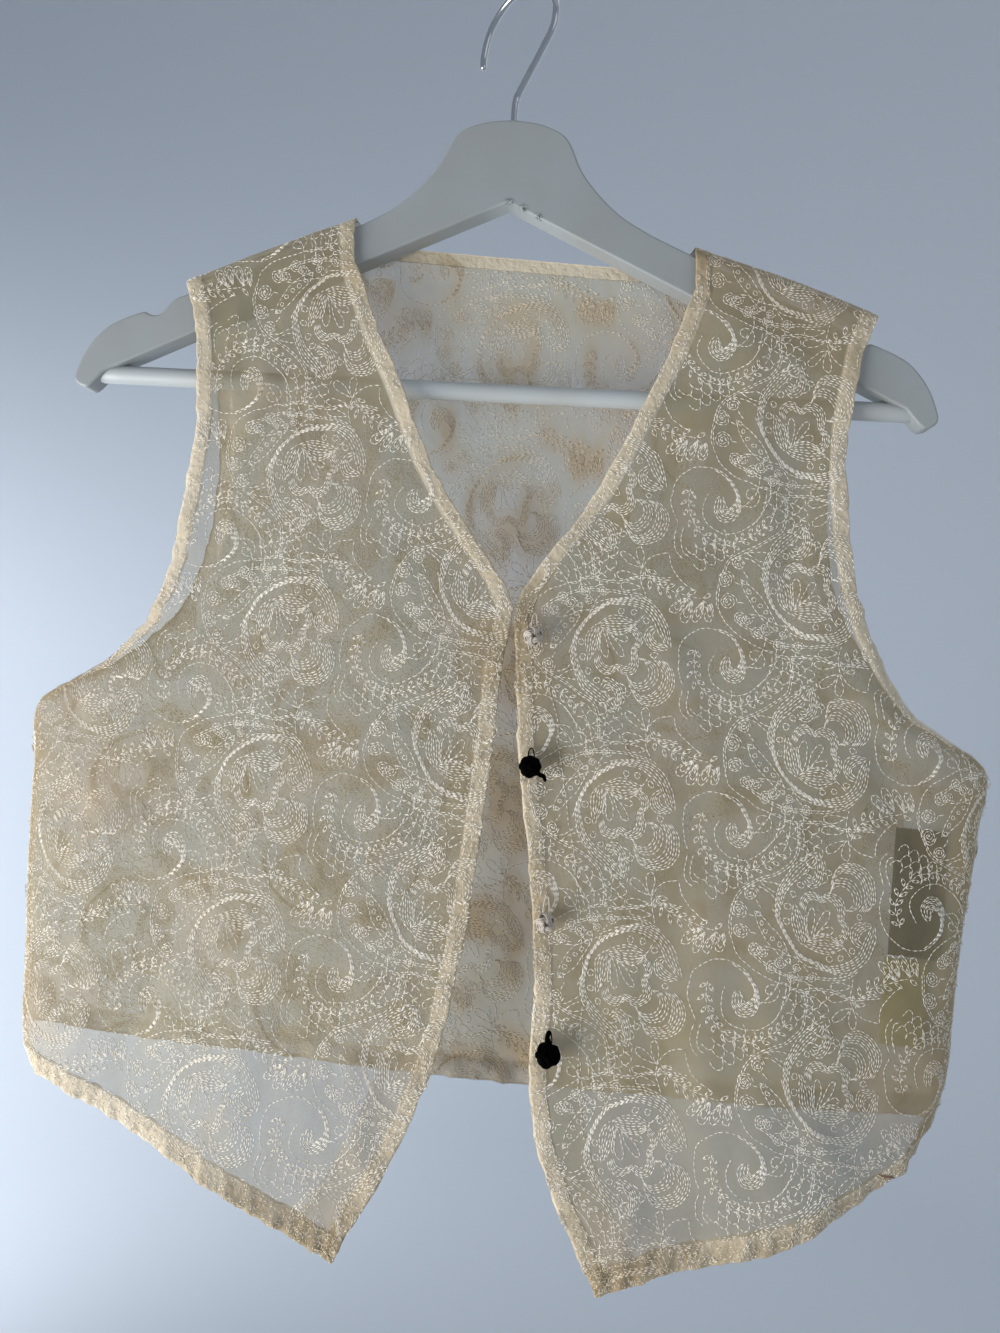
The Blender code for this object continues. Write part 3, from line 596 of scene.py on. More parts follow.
class Palette:
    """All the finishes of the waistcoat and its hanger."""

    ORGANZA = ClothFinish("sheer_silk", Tint((0.296, 0.250, 0.138), (0.45, 0.345, 0.21)), 0.285, 0.80)
    # The back's clean colour is lighter and yellower than the fronts' organza of the same silk: painted
    # light for the light that reaches it through the cloth.
    BACK = ClothFinish("sheer_silk_back", Tint((0.52, 0.47, 0.27), (0.47, 0.335, 0.145)), 0.28, 0.80)
    BAND = ClothFinish("silk_band", Tint((0.88, 0.78, 0.61), (0.44, 0.35, 0.20)), 0.50, 0.92)
    EDGE = ClothFinish("silk_edge", Tint((0.84, 0.71, 0.55), (0.46, 0.35, 0.20)), 0.18, 0.80)
    THREAD = ThreadFinish("silk_thread", Tint((0.93, 0.88, 0.77), (0.58, 0.46, 0.29)), 0.36, 0.45)
    # The cream cord's second colour is nearly black: the knot's core takes it all over, as painted shade in
    # the gaps between the strands.
    CREAM = ThreadFinish("cream_cord", Tint((0.60, 0.53, 0.45), (0.08, 0.05, 0.03)), 0.6, 0.2, 0.00012)
    SOOT = Tint((0.0004, 0.0004, 0.0006), (0.0012, 0.0012, 0.0015))
    BLACK = ThreadFinish("black_cord", SOOT, 0.9, 0.0, 0.0002, 0.02)
    MEND = ThreadFinish("mending_thread", Tint((0.24, 0.12, 0.06), (0.30, 0.18, 0.09)), 0.6, 0.1)
    DARK_LABEL = Tint((0.008, 0.012, 0.028), (0.018, 0.022, 0.036))
    OLIVE_LABEL = Tint((0.36, 0.33, 0.13), (0.44, 0.40, 0.17))
    PAINT = Tint((0.345, 0.37, 0.37), (0.315, 0.325, 0.315))
    CHIPS_MM = ((1.0, -6.5, -107.6), (8.0, -6.5, -110.6), (16.0, -6.5, -114.4))

    def __init__(self) -> None:
        """Make every finish once."""
        self.effects = Effects()
        self.organza = self.ORGANZA.make(self.effects)
        self.back = self.BACK.make(self.effects)
        self.band = self.BAND.make(self.effects)
        self.edge = self.EDGE.make(self.effects)
        self.thread = self.THREAD.make(self.effects)
        self.cream_cord = self.CREAM.make(self.effects)
        self.black_cord = self.BLACK.make(self.effects)
        self.mend = self.MEND.make(self.effects)
        self.wood = self.painted_wood("painted_wood", 1.0)
        # The bar's paint is 1.4 times lighter than the wood's: painted light for the bright top of the
        # round bar.
        self.bar = self.painted_wood("painted_bar", 1.4)
        self.chrome = self.polished_wire()
        self.label_dark = self.woven_label("dark_label", self.DARK_LABEL)
        self.label_olive = self.woven_label("olive_label", self.OLIVE_LABEL)
        self.backdrop = self.plain_backdrop()

    def painted_wood(self, name: str, light: float) -> Material:
        """Pale paint on wood, faintly brushed, with a few dark chips; lighter on the bar as painted light
        for its bright rounded top.
        """
        work = Finisher(self.effects, name, 0.42)
        grime = work.uneven(22.0, 5.0, (0.35, 0.75))
        lit = (tuple(value * light for value in colour) for colour in (self.PAINT.clean, self.PAINT.aged))
        paint = work.blend(grime, *Tint(*lit).sockets())
        broken = work.uneven(900.0, 3.0, (0.46, 0.52))
        mask = work.maths("MULTIPLY", work.near(self.CHIPS_MM, 3.4), broken)
        satin = work.uneven(60.0, 3.0, (0.3, 0.7), (0.34, 0.52))
        colour = work.blend(mask, paint, (0.035, 0.030, 0.026, 1.0))
        work.dress({"Base Color": colour, "Roughness": satin})
        work.bump(work.uneven(240.0, 3.0, stretch=(0.25, 1.0, 1.0)), 0.00008, 0.5)
        return work.material

    def polished_wire(self) -> Material:
        """Bright wire with faint drawing marks."""
        work = Finisher(self.effects, "wire", 0.16, 1.0)
        marks = work.uneven(700.0, 2.0, (0.3, 0.7), (0.10, 0.24))
        work.dress({"Base Color": (0.56, 0.57, 0.58, 1.0), "Roughness": marks})
        return work.material

    def woven_label(self, name: str, tint: Tint) -> Material:
        """Blank woven label cloth in a tint, with the ribs of its weave."""
        work = Finisher(self.effects, name, 0.7)
        mask = work.uneven(120.0, 2.0, (0.4, 0.7), (0.0, 0.6))
        work.dress({"Base Color": work.blend(mask, *tint.sockets())})
        work.bump(work.uneven(1800.0, 1.0, stretch=(1.0, 1.0, 0.3)), 0.0001, 0.7)
        return work.material

    def plain_backdrop(self) -> Material:
        """Pale matt paint of the floor and backdrop."""
        work = Finisher(self.effects, "backdrop", 0.9)
        work.dress({"Base Color": (0.655, 0.695, 0.745, 1.0), "Specular IOR Level": 0.1})
        return work.material


# ------------------------------------------------------------------ cloth forms
CLOTH_WALL = 0.35 * MM
SEAM_HALF = 0.2 * MM
ARCH_REACH = 9.4 * MM
ARCH_DROP = 8.8 * MM
NECK_LEFT = -75.5 * MM
NECK_RIGHT = 93.0 * MM
NECK_TURN = 7.5 * MM
EDGE_BAND = 8.5 * MM
NECK_STRIP = 6.4 * MM
ARMHOLE_BAND = 8.0 * MM
HEM_BAND = 12.0 * MM
SHOULDER_ALLOWANCE = 8.0 * MM
SIDE_ALLOWANCE = 9.0 * MM
SIDE_GATHERS = 11.0 * MM
NECK_FOOT_MM = -300.0  # height where the neck edge turns into the opening edge
MIDDLE_X = 11.0 * MM
UNDERARM = -366.0 * MM
FLAT_LEVEL = 60  # level of a panel that keeps its heights when the cloth is laid flat
SHOULDER_LINE_MM = ((-159, -151), (-75.5, -116.4), (93, -124.4), (182.5, -153.5))
Rows = tuple[tuple[float, ...], ...]

RIGHT_FRONT_ROWS: Rows = (
    # inner_x inner_z outer_x outer_z inner_y outer_y  bow facing
    (-75.5, -116.4, -159, -151, 0, 0, 1, 7),  # shoulder seam
    (-72.5, -141, -151.5, -172, -9.9, -9.8, 1, 7),
    (-60, -172, -148, -203, -10.8, -10.6, 0.5, 7),
    (-45, -202, -147.5, -232, -12.2, -11.6, 0, 7),
    (-27, -241, -150.5, -262, -14.2, -12, 0, 7),
    (-7, -271, -155, -293, -16, -11.2, 0, 7.5),
    (15.5, -303, -165, -322, -17.8, -9, 0, 9),  # foot of the neck opening
    (14, -330, -189, -347, -19.2, -5.6, 0, 15),
    (12.5, -357, -223, -368, -20.6, -0.2, 0, 20),  # underarm
    (11, -385, -224, -396, -22, -0.2, 0, 22),
    (8.5, -420, -224, -427, -23.2, -0.2, 0, 23),
    (5.5, -455, -223.5, -458, -24.4, -0.2, 0, 24),
    (1.5, -487, -222, -484, -25.4, -0.2, 0.5, 24),
    (-4, -517, -221, -504, -26.2, -0.2, 1, 24),
    (-13, -548, -221, -518, -26.8, -0.2, 2.5, 24),
    (-27, -581, -220.5, -529, -27.2, -0.2, 4, 24),
    (-42.5, -610.5, -219, -540, -27.6, -0.2, 5.5, 24),  # top of the hem facing
    (-48, -622.5, -214, -551, -27.8, -0.2, 6, 24),  # hem
)
LEFT_FRONT_ROWS: Rows = (
    # inner_x inner_z outer_x outer_z inner_y outer_y  bow facing
    (93, -124.4, 182.5, -153.5, 0, 0, 1.5, 7),  # shoulder seam
    (94, -147, 175.5, -173, -9.8, -9.6, 1, 7),
    (86, -173, 171.5, -203, -10.6, -10.4, 0.5, 7),
    (73, -204, 170.5, -232, -11.6, -11.4, 0, 7),
    (56, -243, 174, -262, -13, -12, 0, 7),
    (38, -272, 180, -291, -14.6, -11.4, 0, 7.5),
    (19, -302, 191, -318, -16.6, -9.2, 0, 9),  # foot of the neck opening
    (19.5, -330, 213, -348, -18.6, -5.6, 0, 15),
    (22, -357, 247.5, -369, -20.6, -0.2, 0, 20),  # underarm
    (25.5, -386, 247, -396, -22.4, -0.2, 0, 22),
    (31, -418, 244.5, -427, -24.4, -0.2, 0, 23),
    (36, -451, 241.5, -458, -26.6, -0.2, 0, 24),
    (39, -485, 240.5, -484, -28.8, -0.2, -0.5, 24),
    (39, -517, 240, -503, -30.8, -0.2, -2, 24),
    (43.5, -552, 239, -515, -32.4, -0.2, -4.5, 24),
    (56, -583, 237, -526, -33.4, -0.2, -7.5, 24),
    (70.5, -610, 233.5, -537, -33.8, -0.2, -10, 24),  # top of the hem facing
    (76, -621.5, 227, -548, -34, -0.2, -11, 24),  # hem
)
BACK_ROWS: Rows = (
    # left_x left_z right_x right_z side_y mid_y hump  sag
    (-159, -151, 182.5, -153.5, 0, 0, 1, 0),  # shoulder seam
    (-151.5, -172, 175.5, -173, 9.7, 11.2, 0.86, 0),
    (-145.5, -203, 171, -203, 10.6, 12.4, 0.66, 0),
    (-142.5, -232, 168.5, -232, 11.6, 13.6, 0.46, 0),
    (-143, -262, 169.5, -262, 12.2, 15, 0.26, 0),
    (-148, -292, 175.5, -291, 11.6, 16.2, 0.12, 0),
    (-160, -322, 190, -318, 9.2, 17.4, 0.04, 0),
    (-187.5, -347, 212, -348, 5.6, 18.4, 0, 0),
    (-223, -368, 247.5, -369, 0.2, 19.2, 0, 0),  # underarm
    (-224, -396, 247, -396, 0.2, 19.8, 0, 0),
    (-224, -427, 244.5, -427, 0.2, 20.4, 0, 0),
    (-223.5, -458, 241.5, -458, 0.2, 20.8, 0, 0),
    (-222, -484, 240.5, -484, 0.2, 21.2, 0, -1),
    (-221, -504, 240, -503, 0.2, 21.6, 0, -4),
    (-221, -522, 237.5, -530, 0.2, 21.8, 0, -11.5),  # top of the hem facing
    (-220.5, -533, 232.5, -540, 0.2, 22, 0, -13),  # hem
)
FOLDS: dict[Side | None, Rows] = {
    # across width from_v to_v  out_mm
    Side.RIGHT: ((0.38, 0.13, 0.30, 1, 3), (0.68, 0.10, 0.42, 1, -2.6), (0.22, 0.10, 0.12, 0.5, 1.4)),
    Side.LEFT: ((0.30, 0.12, 0.34, 1, -3.2), (0.56, 0.13, 0.40, 1, 3.6), (0.80, 0.08, 0.50, 1, -2.4)),
    None: ((0.24, 0.08, 0.45, 1, 2.6), (0.50, 0.09, 0.30, 1, -2.4), (0.74, 0.08, 0.45, 1, 2.8)),
}


def body_round(across: Array) -> Array:
    """Rounded body section: 1 along the middle, turning to 0 at the side seam."""
    return np.sqrt(1.0 - np.clip(across, 0.0, 1.0) ** 3)


def bell(distance: Array, reach_mm: float, power: int = 2) -> Array:
    """Fall from 1 at no distance to nearly 0 past the reach, steeper for a higher power."""
    return np.exp(-((distance / (reach_mm * MM)) ** power))


def rising(distance: Array, start_mm: float, length_mm: float) -> Array:
    """Ease from 0 at the start to 1 a length further on."""
    return smoothstep((distance - start_mm * MM) / (length_mm * MM))


def fold_depth(side: Side | None, across: Array, down: Array, ease: float) -> Array:
    """Find how far the folds of a panel stand out.

    Formula: each fold is a bell across its place that grows down the panel, and all of them
    die away towards the side edges.

    Args:
        side: The front's side, or none for the back.
        across: Share of the panel's width.
        down: Share of the panel's height.
        ease: How steeply they rise from the side edges.

    Returns:
        The reach at each point, in metres.
    """
    depth = np.zeros(np.broadcast(across, down).shape)
    for centre, width, start, end, out in FOLDS[side]:
        growth = smoothstep((down - start) / (end - start))
        depth = depth + out * MM * growth * np.exp(-(((across - centre) / width) ** 2))
    return depth * np.clip(across * ease, 0.0, 1.0) * np.clip((1.0 - across) * ease, 0.0, 1.0)


def refine(table: Rows, start: int = 1) -> Array:
    """Put one smooth level between each two rows from row `start` on.

    Formula: the middle row is (9 (this + next) - before - after) / 16, held where both are equal.

    Args:
        table: Rows of a panel.
        start: First row that gets a level after it.

    Returns:
        The longer table.
    """
    rows = np.array(table, float)
    out = list(rows[: start + 1])
    last = len(rows) - 1
    for i in range(start, last):
        before, after = rows[max(i - 1, start)], rows[min(i + 2, last)]
        middle = (9.0 * (rows[i] + rows[i + 1]) - before - after) / 16.0
        out += [np.where(rows[i] == rows[i + 1], rows[i], middle), rows[i + 1]]
    return np.array(out)


def densify(grid: Array) -> Array:
    """Put three smooth levels between the levels of a grid."""
    down, wide = grid.shape[:2]
    return smooth_path(grid.reshape(down, -1), 4).reshape(-1, wide, grid.shape[2])


def outward_normals(grid: Array, facing: int) -> Array:
    """Unit normals of a panel that face the front (-1) or the back (1)."""
    normal = unit(np.cross(np.gradient(grid, axis=1), np.gradient(grid, axis=0)))
    return normal * facing * np.sign(normal[FLAT_LEVEL, grid.shape[1] // 2, 1])


def over_crest(crest: Array, row_1: Array, share: Array, facing: int) -> Array:
    """Take points of the shoulder line round its crest.

    Formula: the arch reaches out and down by the sine and cosine of a quarter turn; the points
    slide along the panel's slant as they drop.

    Args:
        crest: Points of the shoulder line.
        row_1: Points of the table's next row, which give the slant.
        share: Share of the way round.
        facing: 1 for the back, -1 for a front.

    Returns:
        The points.
    """
    angle = 0.5 * math.pi * np.clip(share, 0.0, 1.0)
    drop = ARCH_DROP * (1.0 - np.cos(angle))
    point = crest.copy()
    point[:, 1] = facing * (SEAM_HALF + ARCH_REACH * np.sin(angle))
    point[:, 2] -= drop
    point[:, 0] += (row_1[:, 0] - crest[:, 0]) * drop / (crest[:, 2] - row_1[:, 2])
    return point


@dataclass
class Panel:
    """One piece of the waistcoat's cloth as a dense grid, with its flat grain coordinates."""

    name: str
    grid: Array  # outer surface, levels by columns by 3
    turn: Array  # outward normals
    flat: Array  # place on the flat cloth, levels by columns by 2
    aged: Array  # how yellow each point is, with painted shade in places
    dense: Array  # how much thicker each point is, and in places thicker or thinner only to paint shade
    band: Array  # 1 where the edge is turned in and doubled

    def at(self, level: Array, column: Array, inset: float = 0.0) -> Array:
        """Points of the surface at levels and columns between the grid's own, moved inward."""
        return self.blend(self.grid, level, column) - self.normal_at(level, column) * inset

    def normal_at(self, level: Array, column: Array) -> Array:
        """Unit normals at these levels and columns."""
        return unit(self.blend(self.turn, level, column))

    @staticmethod
    def blend(values: Array, level: Array, column: Array) -> Array:
        """Weigh the four grid values round each place by how near they are.

        Args:
            values: Grid of values, with any number of numbers at each point.
            level: Levels, which may lie between two rows of the grid.
            column: Columns, likewise.

        Returns:
            The values at the places.
        """
        i = np.clip(np.floor(level).astype(int), 0, values.shape[0] - 2)
        j = np.clip(np.floor(column).astype(int), 0, values.shape[1] - 2)
        s, t = level - i, column - j
        if values.ndim == 3:
            s, t = s[..., None], t[..., None]
        top = values[i, j] * (1.0 - t) + values[i, j + 1] * t
        foot = values[i + 1, j] * (1.0 - t) + values[i + 1, j + 1] * t
        return top * (1.0 - s) + foot * s

    def find(self, place: Array) -> tuple[Array, Array, Array]:
        """Find where places of the flat cloth lie on the panel.

        Formula: from the middle of the panel, step by the error divided by the local slope of the
        flat coordinates, 18 times.

        Args:
            place: Flat coordinates, one row each.

        Returns:
            Level and column of each place, and whether it lies on the panel.
        """
        down, wide = self.flat.shape[:2]
        level, column = np.full(len(place), 0.5 * down), np.full(len(place), 0.5 * wide)
        for _ in range(18):
            i, j = np.clip(level, 0.0, down - 1.001), np.clip(column, 0.0, wide - 1.001)
            low_i, low_j = np.floor(i).astype(int), np.floor(j).astype(int)
            slope_i = self.flat[low_i + 1, low_j] - self.flat[low_i, low_j]
            slope_j = self.flat[low_i, low_j + 1] - self.flat[low_i, low_j]
            error = place - self.blend(self.flat, i, j)
            error -= slope_i * (level - i)[:, None] + slope_j * (column - j)[:, None]
            area = slope_i[:, 0] * slope_j[:, 1] - slope_i[:, 1] * slope_j[:, 0]
            area = np.where(np.abs(area) < 1e-12, 1e-12, area)
            step_i = (error[:, 0] * slope_j[:, 1] - error[:, 1] * slope_j[:, 0]) / area
            step_j = (slope_i[:, 0] * error[:, 1] - slope_i[:, 1] * error[:, 0]) / area
            level = level + np.clip(step_i, -25.0, 25.0)
            column = column + np.clip(step_j, -25.0, 25.0)
        inside = (level >= 0.0) & (level <= down - 0.7) & (column >= -0.5) & (column <= wide - 0.5)
        return level, column, inside


def flat_places(grid: Array) -> Array:
    """Lay a panel out flat along its grain.

    Formula: x grows by how much longer the cloth is than its run across, from the inner edge on,
    and z by how much longer it is than its drop, up from the middle level.

    Args:
        grid: Points of the panel.

    Returns:
        Flat coordinates of each point.
    """
    step, rise = np.diff(grid, axis=1), np.diff(grid, axis=0)
    wider = np.hypot(step[..., 0], step[..., 1]) - np.abs(step[..., 0])
    longer = np.hypot(rise[..., 1], rise[..., 2]) - np.abs(rise[..., 2])
    extra_x = np.pad(np.cumsum(wider, axis=1), ((0, 0), (1, 0)))
    extra_x *= np.sign(grid[:, -1:, 0] - grid[:, :1, 0])
    total = np.pad(np.cumsum(longer, axis=0), ((1, 0), (0, 0)))
    return np.stack([grid[..., 0] + extra_x, grid[..., 2] + total[FLAT_LEVEL] - total], 2)


def ragged(grid: Array, edges: Edges, seed: float) -> Array:
    """Make the turned-in edges a little uneven in their own plane.

    Formula: near each side edge and the hem the cloth is pulled out or in by a ripple that fades
    within 5 mm; seams with other panels keep their line.

    Args:
        grid: Points of a panel.
        edges: Their distances to the edges.
        seed: Shifts the pattern.

    Returns:
        The uneven grid.
    """
    x, z = grid[..., 0], grid[..., 2]
    across, down = unit(np.gradient(grid, axis=1)), unit(np.gradient(grid, axis=0))
    reach = 0.34 * MM * ripple(x, z, 0.0075, seed) + 0.36 * MM * ripple(x, z, 0.023, seed + 1.0)
    free = 1.0 - rising(-z, 355, 10) * (np.abs(x - MIDDLE_X) > 185.0 * MM)
    free = free * rising(edges.top, 0, 6) * (np.abs(grid[..., 1]) >= 1.0 * MM)
    sideways = bell(edges.last, 4) - bell(edges.first, 4)
    hem = bell(edges.foot, 5) * np.clip(edges.nearer_side() / (6.0 * MM), 0.0, 1.0)
    return grid + across * (sideways * reach * free)[..., None] + down * (hem * reach)[..., None]


@dataclass
class Edges:
    """Distances over the cloth from each point of a panel to its edges, in metres."""

    first: Array  # to the first column's edge
    last: Array  # to the last column's edge
    top: Array  # to the shoulder seam
    foot: Array  # to the hem

    @classmethod
    def of(cls, grid: Array) -> Edges:
        """Add up the lengths of the grid's steps across and down."""
        run, fall = run_lengths(grid, 1), run_lengths(grid)
        return cls(run, run[:, -1:] - run, fall, fall[-1:] - fall)

    def nearer_side(self) -> Array:
        """Distance to the nearer of the two side edges."""
        return np.minimum(self.first, self.last)

    def seam_dense(self) -> Array:
        """Thicker cloth where edges are turned in at the very rim."""
        rim = np.minimum(self.nearer_side(), np.minimum(self.top, self.foot))
        return 0.55 * np.clip(1.0 - rim / (1.3 * MM), 0.0, 1.0)

    def weave_and_shade_dense(self, side: Side | None, grid: Array) -> Array:
        """Where the cloth lets less light through at its turned seams, and where it is made denser or
        thinner to paint shade.

        Formula: steps over the shoulders and inside the side seams, and bells: for the left front
        a denser cloth, most in its lower half, as painted shade, and a thinner place before the label,
        which lets the dark label show through as painted shade where no light glows from behind; for
        the back a denser strip behind the opening, partly stained cloth and partly painted shade.

        Args:
            side: The front's side, or none for the back.
            grid: Points of the panel.

        Returns:
            How much thicker each point is.
        """
        x, z = grid[..., 0], grid[..., 2]
        total = 0.42 * self.side_seam(side, grid) * (x > 0.0)
        if side is not None:
            total += 0.16 * rising(z, -250, 50)
        if side is Side.LEFT:
            # The whole left front is denser, most of all its lower half: painted shade where it gets less
            # light.
            total += 0.10 + 0.14 * rising(-z, 400, 120)
            # A thinner place before the label lets the dark label show through: painted shade where no
            # light glows from behind.
            total -= 0.46 * bell(x - 208.0 * MM, 11, 4) * bell(z + 434.0 * MM, 35, 4)
        if side is None:
            # A denser strip behind the opening: partly stained cloth, partly painted shade cast by the
            # fronts.
            total += 0.30 * rising(-z, 300, 20) * bell(x - 20.0 * MM, 26, 4)
        return total

    def side_seam(self, side: Side | None, grid: Array) -> Array:
        """Nearness to the side seam below the armhole: 1 inside its turned 19 mm, else 0."""
        edge = self.nearer_side() if side is None else self.last
        return rising(-grid[..., 2], 372, 12) * bell(edge, 19, 6)

    def doubled(self, grid: Array) -> Array:
        """Where the edges are turned in: neck, front edge, armholes and hem."""
        at_seam = rising(-grid[..., 2], 360, 8) * (np.abs(grid[..., 0] - MIDDLE_X) > 190.0 * MM)
        edge = self.nearer_side() + at_seam
        return np.maximum(rising(-edge, -8.6, 1.2), rising(-self.foot, -12.2, 1.2))


@dataclass(frozen=True)
class Relief:
    """Height of the creases, ripples and puckers of one panel above its smooth form."""

    side: Side | None
    seed: float

    CREASES: ClassVar[dict[Side | None, Rows]] = {
        # place x z of the middle, half length, half width, height, all mm, and lean in degrees
        Side.RIGHT: (
            (-118, -215, 62, 7, 1.6, 76), (-92, -250, 70, 9, -1.5, 68), (-60, -300, 46, 6, 1.1, 62),
            (-150, -345, 40, 7, 1.5, 32), (-175, -420, 50, 8, 1.3, 58), (-95, -520, 60, 9, 1.4, 80),
            (-150, -505, 42, 7, -1.2, 72), (-40, -560, 38, 6, 1.3, 100),
        ),
        Side.LEFT: (
            (126, -212, 64, 8, 1.5, 98), (148, -262, 58, 7, -1.4, 84), (188, -340, 44, 8, 1.7, 140),
            (206, -392, 48, 8, -1.4, 118), (222, -556, 26, 4, 1.3, 8), (96, -330, 50, 8, 1, 112),
            (120, -520, 66, 10, 1.5, 96), (176, -545, 30, 6, 1.6, 128), (90, -585, 32, 6, 1.2, 70),
        ),
        None: (
            (-90, -220, 70, 10, 1.4, 80), (96, -232, 66, 9, 1.4, 96), (10, -250, 90, 12, -1.2, 90),
            (-160, -390, 60, 9, 1.5, 50), (176, -402, 56, 9, 1.5, 132), (-60, -470, 60, 11, 1.3, 84),
            (84, -480, 64, 10, -1.3, 98),
        ),
    }

    def height(self, grid: Array, flat: Array, edges: Edges) -> Array:
        """Add up the relief.

        Formula: long bells for the creases, two sizes of ripple over the whole cloth, short waves
        along the bands that fade within 14 mm of the edge, and a ridge where a band ends; all of
        it dies away towards the seams.

        Args:
            grid: Points of the panel.
            flat: Their flat coordinates.
            edges: Their distances to the edges.

        Returns:
            The height at each point, in metres.
        """
        x, z = flat[..., 0], flat[..., 1]
        total = 0.55 * ripple(x, z, 0.052, self.seed) + 0.22 * ripple(x, z, 0.017, self.seed + 1.3)
        for place_x, place_z, long, wide, high, lean in self.CREASES[self.side]:
            (cos, sin), (dx, dz) = heading(lean), (x - place_x * MM, z - place_z * MM)
            along = dx * cos + dz * sin
            beside = dz * cos - dx * sin + 0.05 * along**2 / (long * MM)
            total += high * bell(along, long) * bell(beside, wide)
        total += 0.85 * bell(edges.foot, 13) * ripple(x, 0.25 * z, 0.0105, self.seed + 2.1)
        pucker = 0.55 * ripple(0.3 * x, z, 0.0092, self.seed + 3.7)
        for edge in (edges.first, edges.last):
            total += bell(edge, 9) * pucker + 0.45 * rising(-edge, -7.7, 2.2)
        total += 0.40 * rising(-edges.foot, -12.9, 2.4)
        return total * MM * rising(self.seam_distance(grid, edges), 0, 12)

    def seam_distance(self, grid: Array, edges: Edges) -> Array:
        """Distance to the nearest seam with another panel."""
        far = 1.0 - rising(-grid[..., 2], 340, 26)
        first = edges.first + (far if self.side is None else 1.0)
        return np.minimum(np.minimum(edges.top, edges.last + far), first)


@dataclass(frozen=True)
class AgeingAndShade:
    """Where the silk has turned yellow: the bands, the hem, the shoulders and a few blotches; down the
    middle of the back the blotches are partly staining and partly painted shade.
    """

    side: Side | None

    BLOTCHES: ClassVar[dict[Side | None, Rows]] = {
        # place x z, reach, strength
        Side.RIGHT: (
            (-185, -405, 34, 0.55), (-205, -345, 26, 0.75), (-120, -470, 22, 0.28),
            (-50, -610, 24, 0.75), (-80, -140, 22, 0.45), (8, -330, 22, 0.45),
            (-216, -515, 26, 0.45), (-115, -209, 4.5, 0.95), (-82, -219, 3.5, 0.85),
        ),
        Side.LEFT: (
            (150, -142, 40, 0.60), (100, -130, 24, 0.55), (228, -420, 22, 0.35),
            (225, -525, 26, 0.55), (90, -605, 30, 0.55), (30, -450, 26, 0.30),
            (12, -530, 3, 0.60), (20, -310, 16, 0.60), (17, -338, 14, 0.35),
        ),
        None: (
            (-60, -170, 40, 0.55), (60, -190, 46, 0.60), (10, -290, 40, 0.45),
            # These three blotches and the first of the next row lie down the middle behind the opening:
            # partly stained, partly painted shade cast by the fronts.
            (14, -335, 26, 0.70), (18, -395, 34, 0.45), (20, -460, 36, 0.50),
            (20, -530, 30, 0.45), (-180, -400, 40, 0.30), (150, -460, 44, 0.30),
        ),
    }
    HEMS: ClassVar[dict[Side | None, tuple[float, float]]] = {
        # hem at the side seams and in the middle
        Side.RIGHT: (0.0, 0.95),
        Side.LEFT: (0.52, 0.60),
        None: (0.15, 0.15),
    }

    def share(self, grid: Array, edges: Edges) -> Array:
        """Work out how yellow each point is, with painted shade behind the back's opening.

        Formula: bells round the blotches plus a rim along every edge, broken up by ripples.

        Args:
            grid: Points of the panel.
            edges: Their distances to the edges.

        Returns:
            A share from 0 to 1 for each point.
        """
        x, z = grid[..., 0], grid[..., 2]
        total = 0.12 * ripple(x, z, 0.06, 4.0) + (0.10 if self.side is None else 0.0)
        for place_x, place_z, reach, strength in self.BLOTCHES[self.side]:
            total += strength * bell(x - place_x * MM, reach) * bell(z - place_z * MM, reach)
        if self.side is not None:
            total += 0.08 * rising(-z, 300, 20) * bell(edges.first, 13, 4)
        patch = smoothstep(0.5 + 0.8 * ripple(x, z, 0.017, 2.2))
        total += (0.02 + 0.13 * patch) * bell(np.minimum(edges.nearer_side(), edges.foot), 10, 4)
        total += 0.08 * edges.side_seam(self.side, grid)
        outer, inner = self.HEMS[self.side]
        inward = rising(-np.abs(x - MIDDLE_X), -185, 125)
        hem = (outer + (inner - outer) * inward) * (0.75 + 0.25 * patch)
        return np.clip(total + hem * bell(edges.foot, 12.5, 6), 0.0, 1.0)


def drape(name: str, side: Side | None, grid: Array, seed: float) -> Panel:
    """Turn the smooth form of a panel into cloth, with its creases and its uneven edges.

    Formula: the relief is added along the normals, then the edges are pulled in their plane.

    Args:
        name: Name of the panel.
        side: The front's side, or none for the back.
        grid: Points of the smooth form.
        seed: Shifts the pattern of creases.

    Returns:
        The panel.
    """
    facing = 1 if side is None else -1
    edges = Edges.of(grid)
    flat = flat_places(grid)
    relief = Relief(side, seed).height(grid, flat, edges)
    grid = ragged(grid + outward_normals(grid, facing) * relief[..., None], edges, seed)
    turn = outward_normals(grid, facing)
    aged = AgeingAndShade(side).share(grid, edges)
    dense = edges.seam_dense() + edges.weave_and_shade_dense(side, grid)
    band = edges.doubled(grid) * (0.45 if side is None else 1.0)
    return Panel(name, grid, turn, flat, aged, dense, band)


def face_sideways(panel: Panel, guide: int, ways: dict[int, float]) -> None:
    """Turn the normals of side seams straight sideways where the guide column is below the arm."""
    below = (panel.grid[:, guide, 2] < UNDERARM)[:, None]
    for column, way in ways.items():
        panel.turn[:, column] = np.where(below, (way, 0.0, 0.0), panel.turn[:, column])


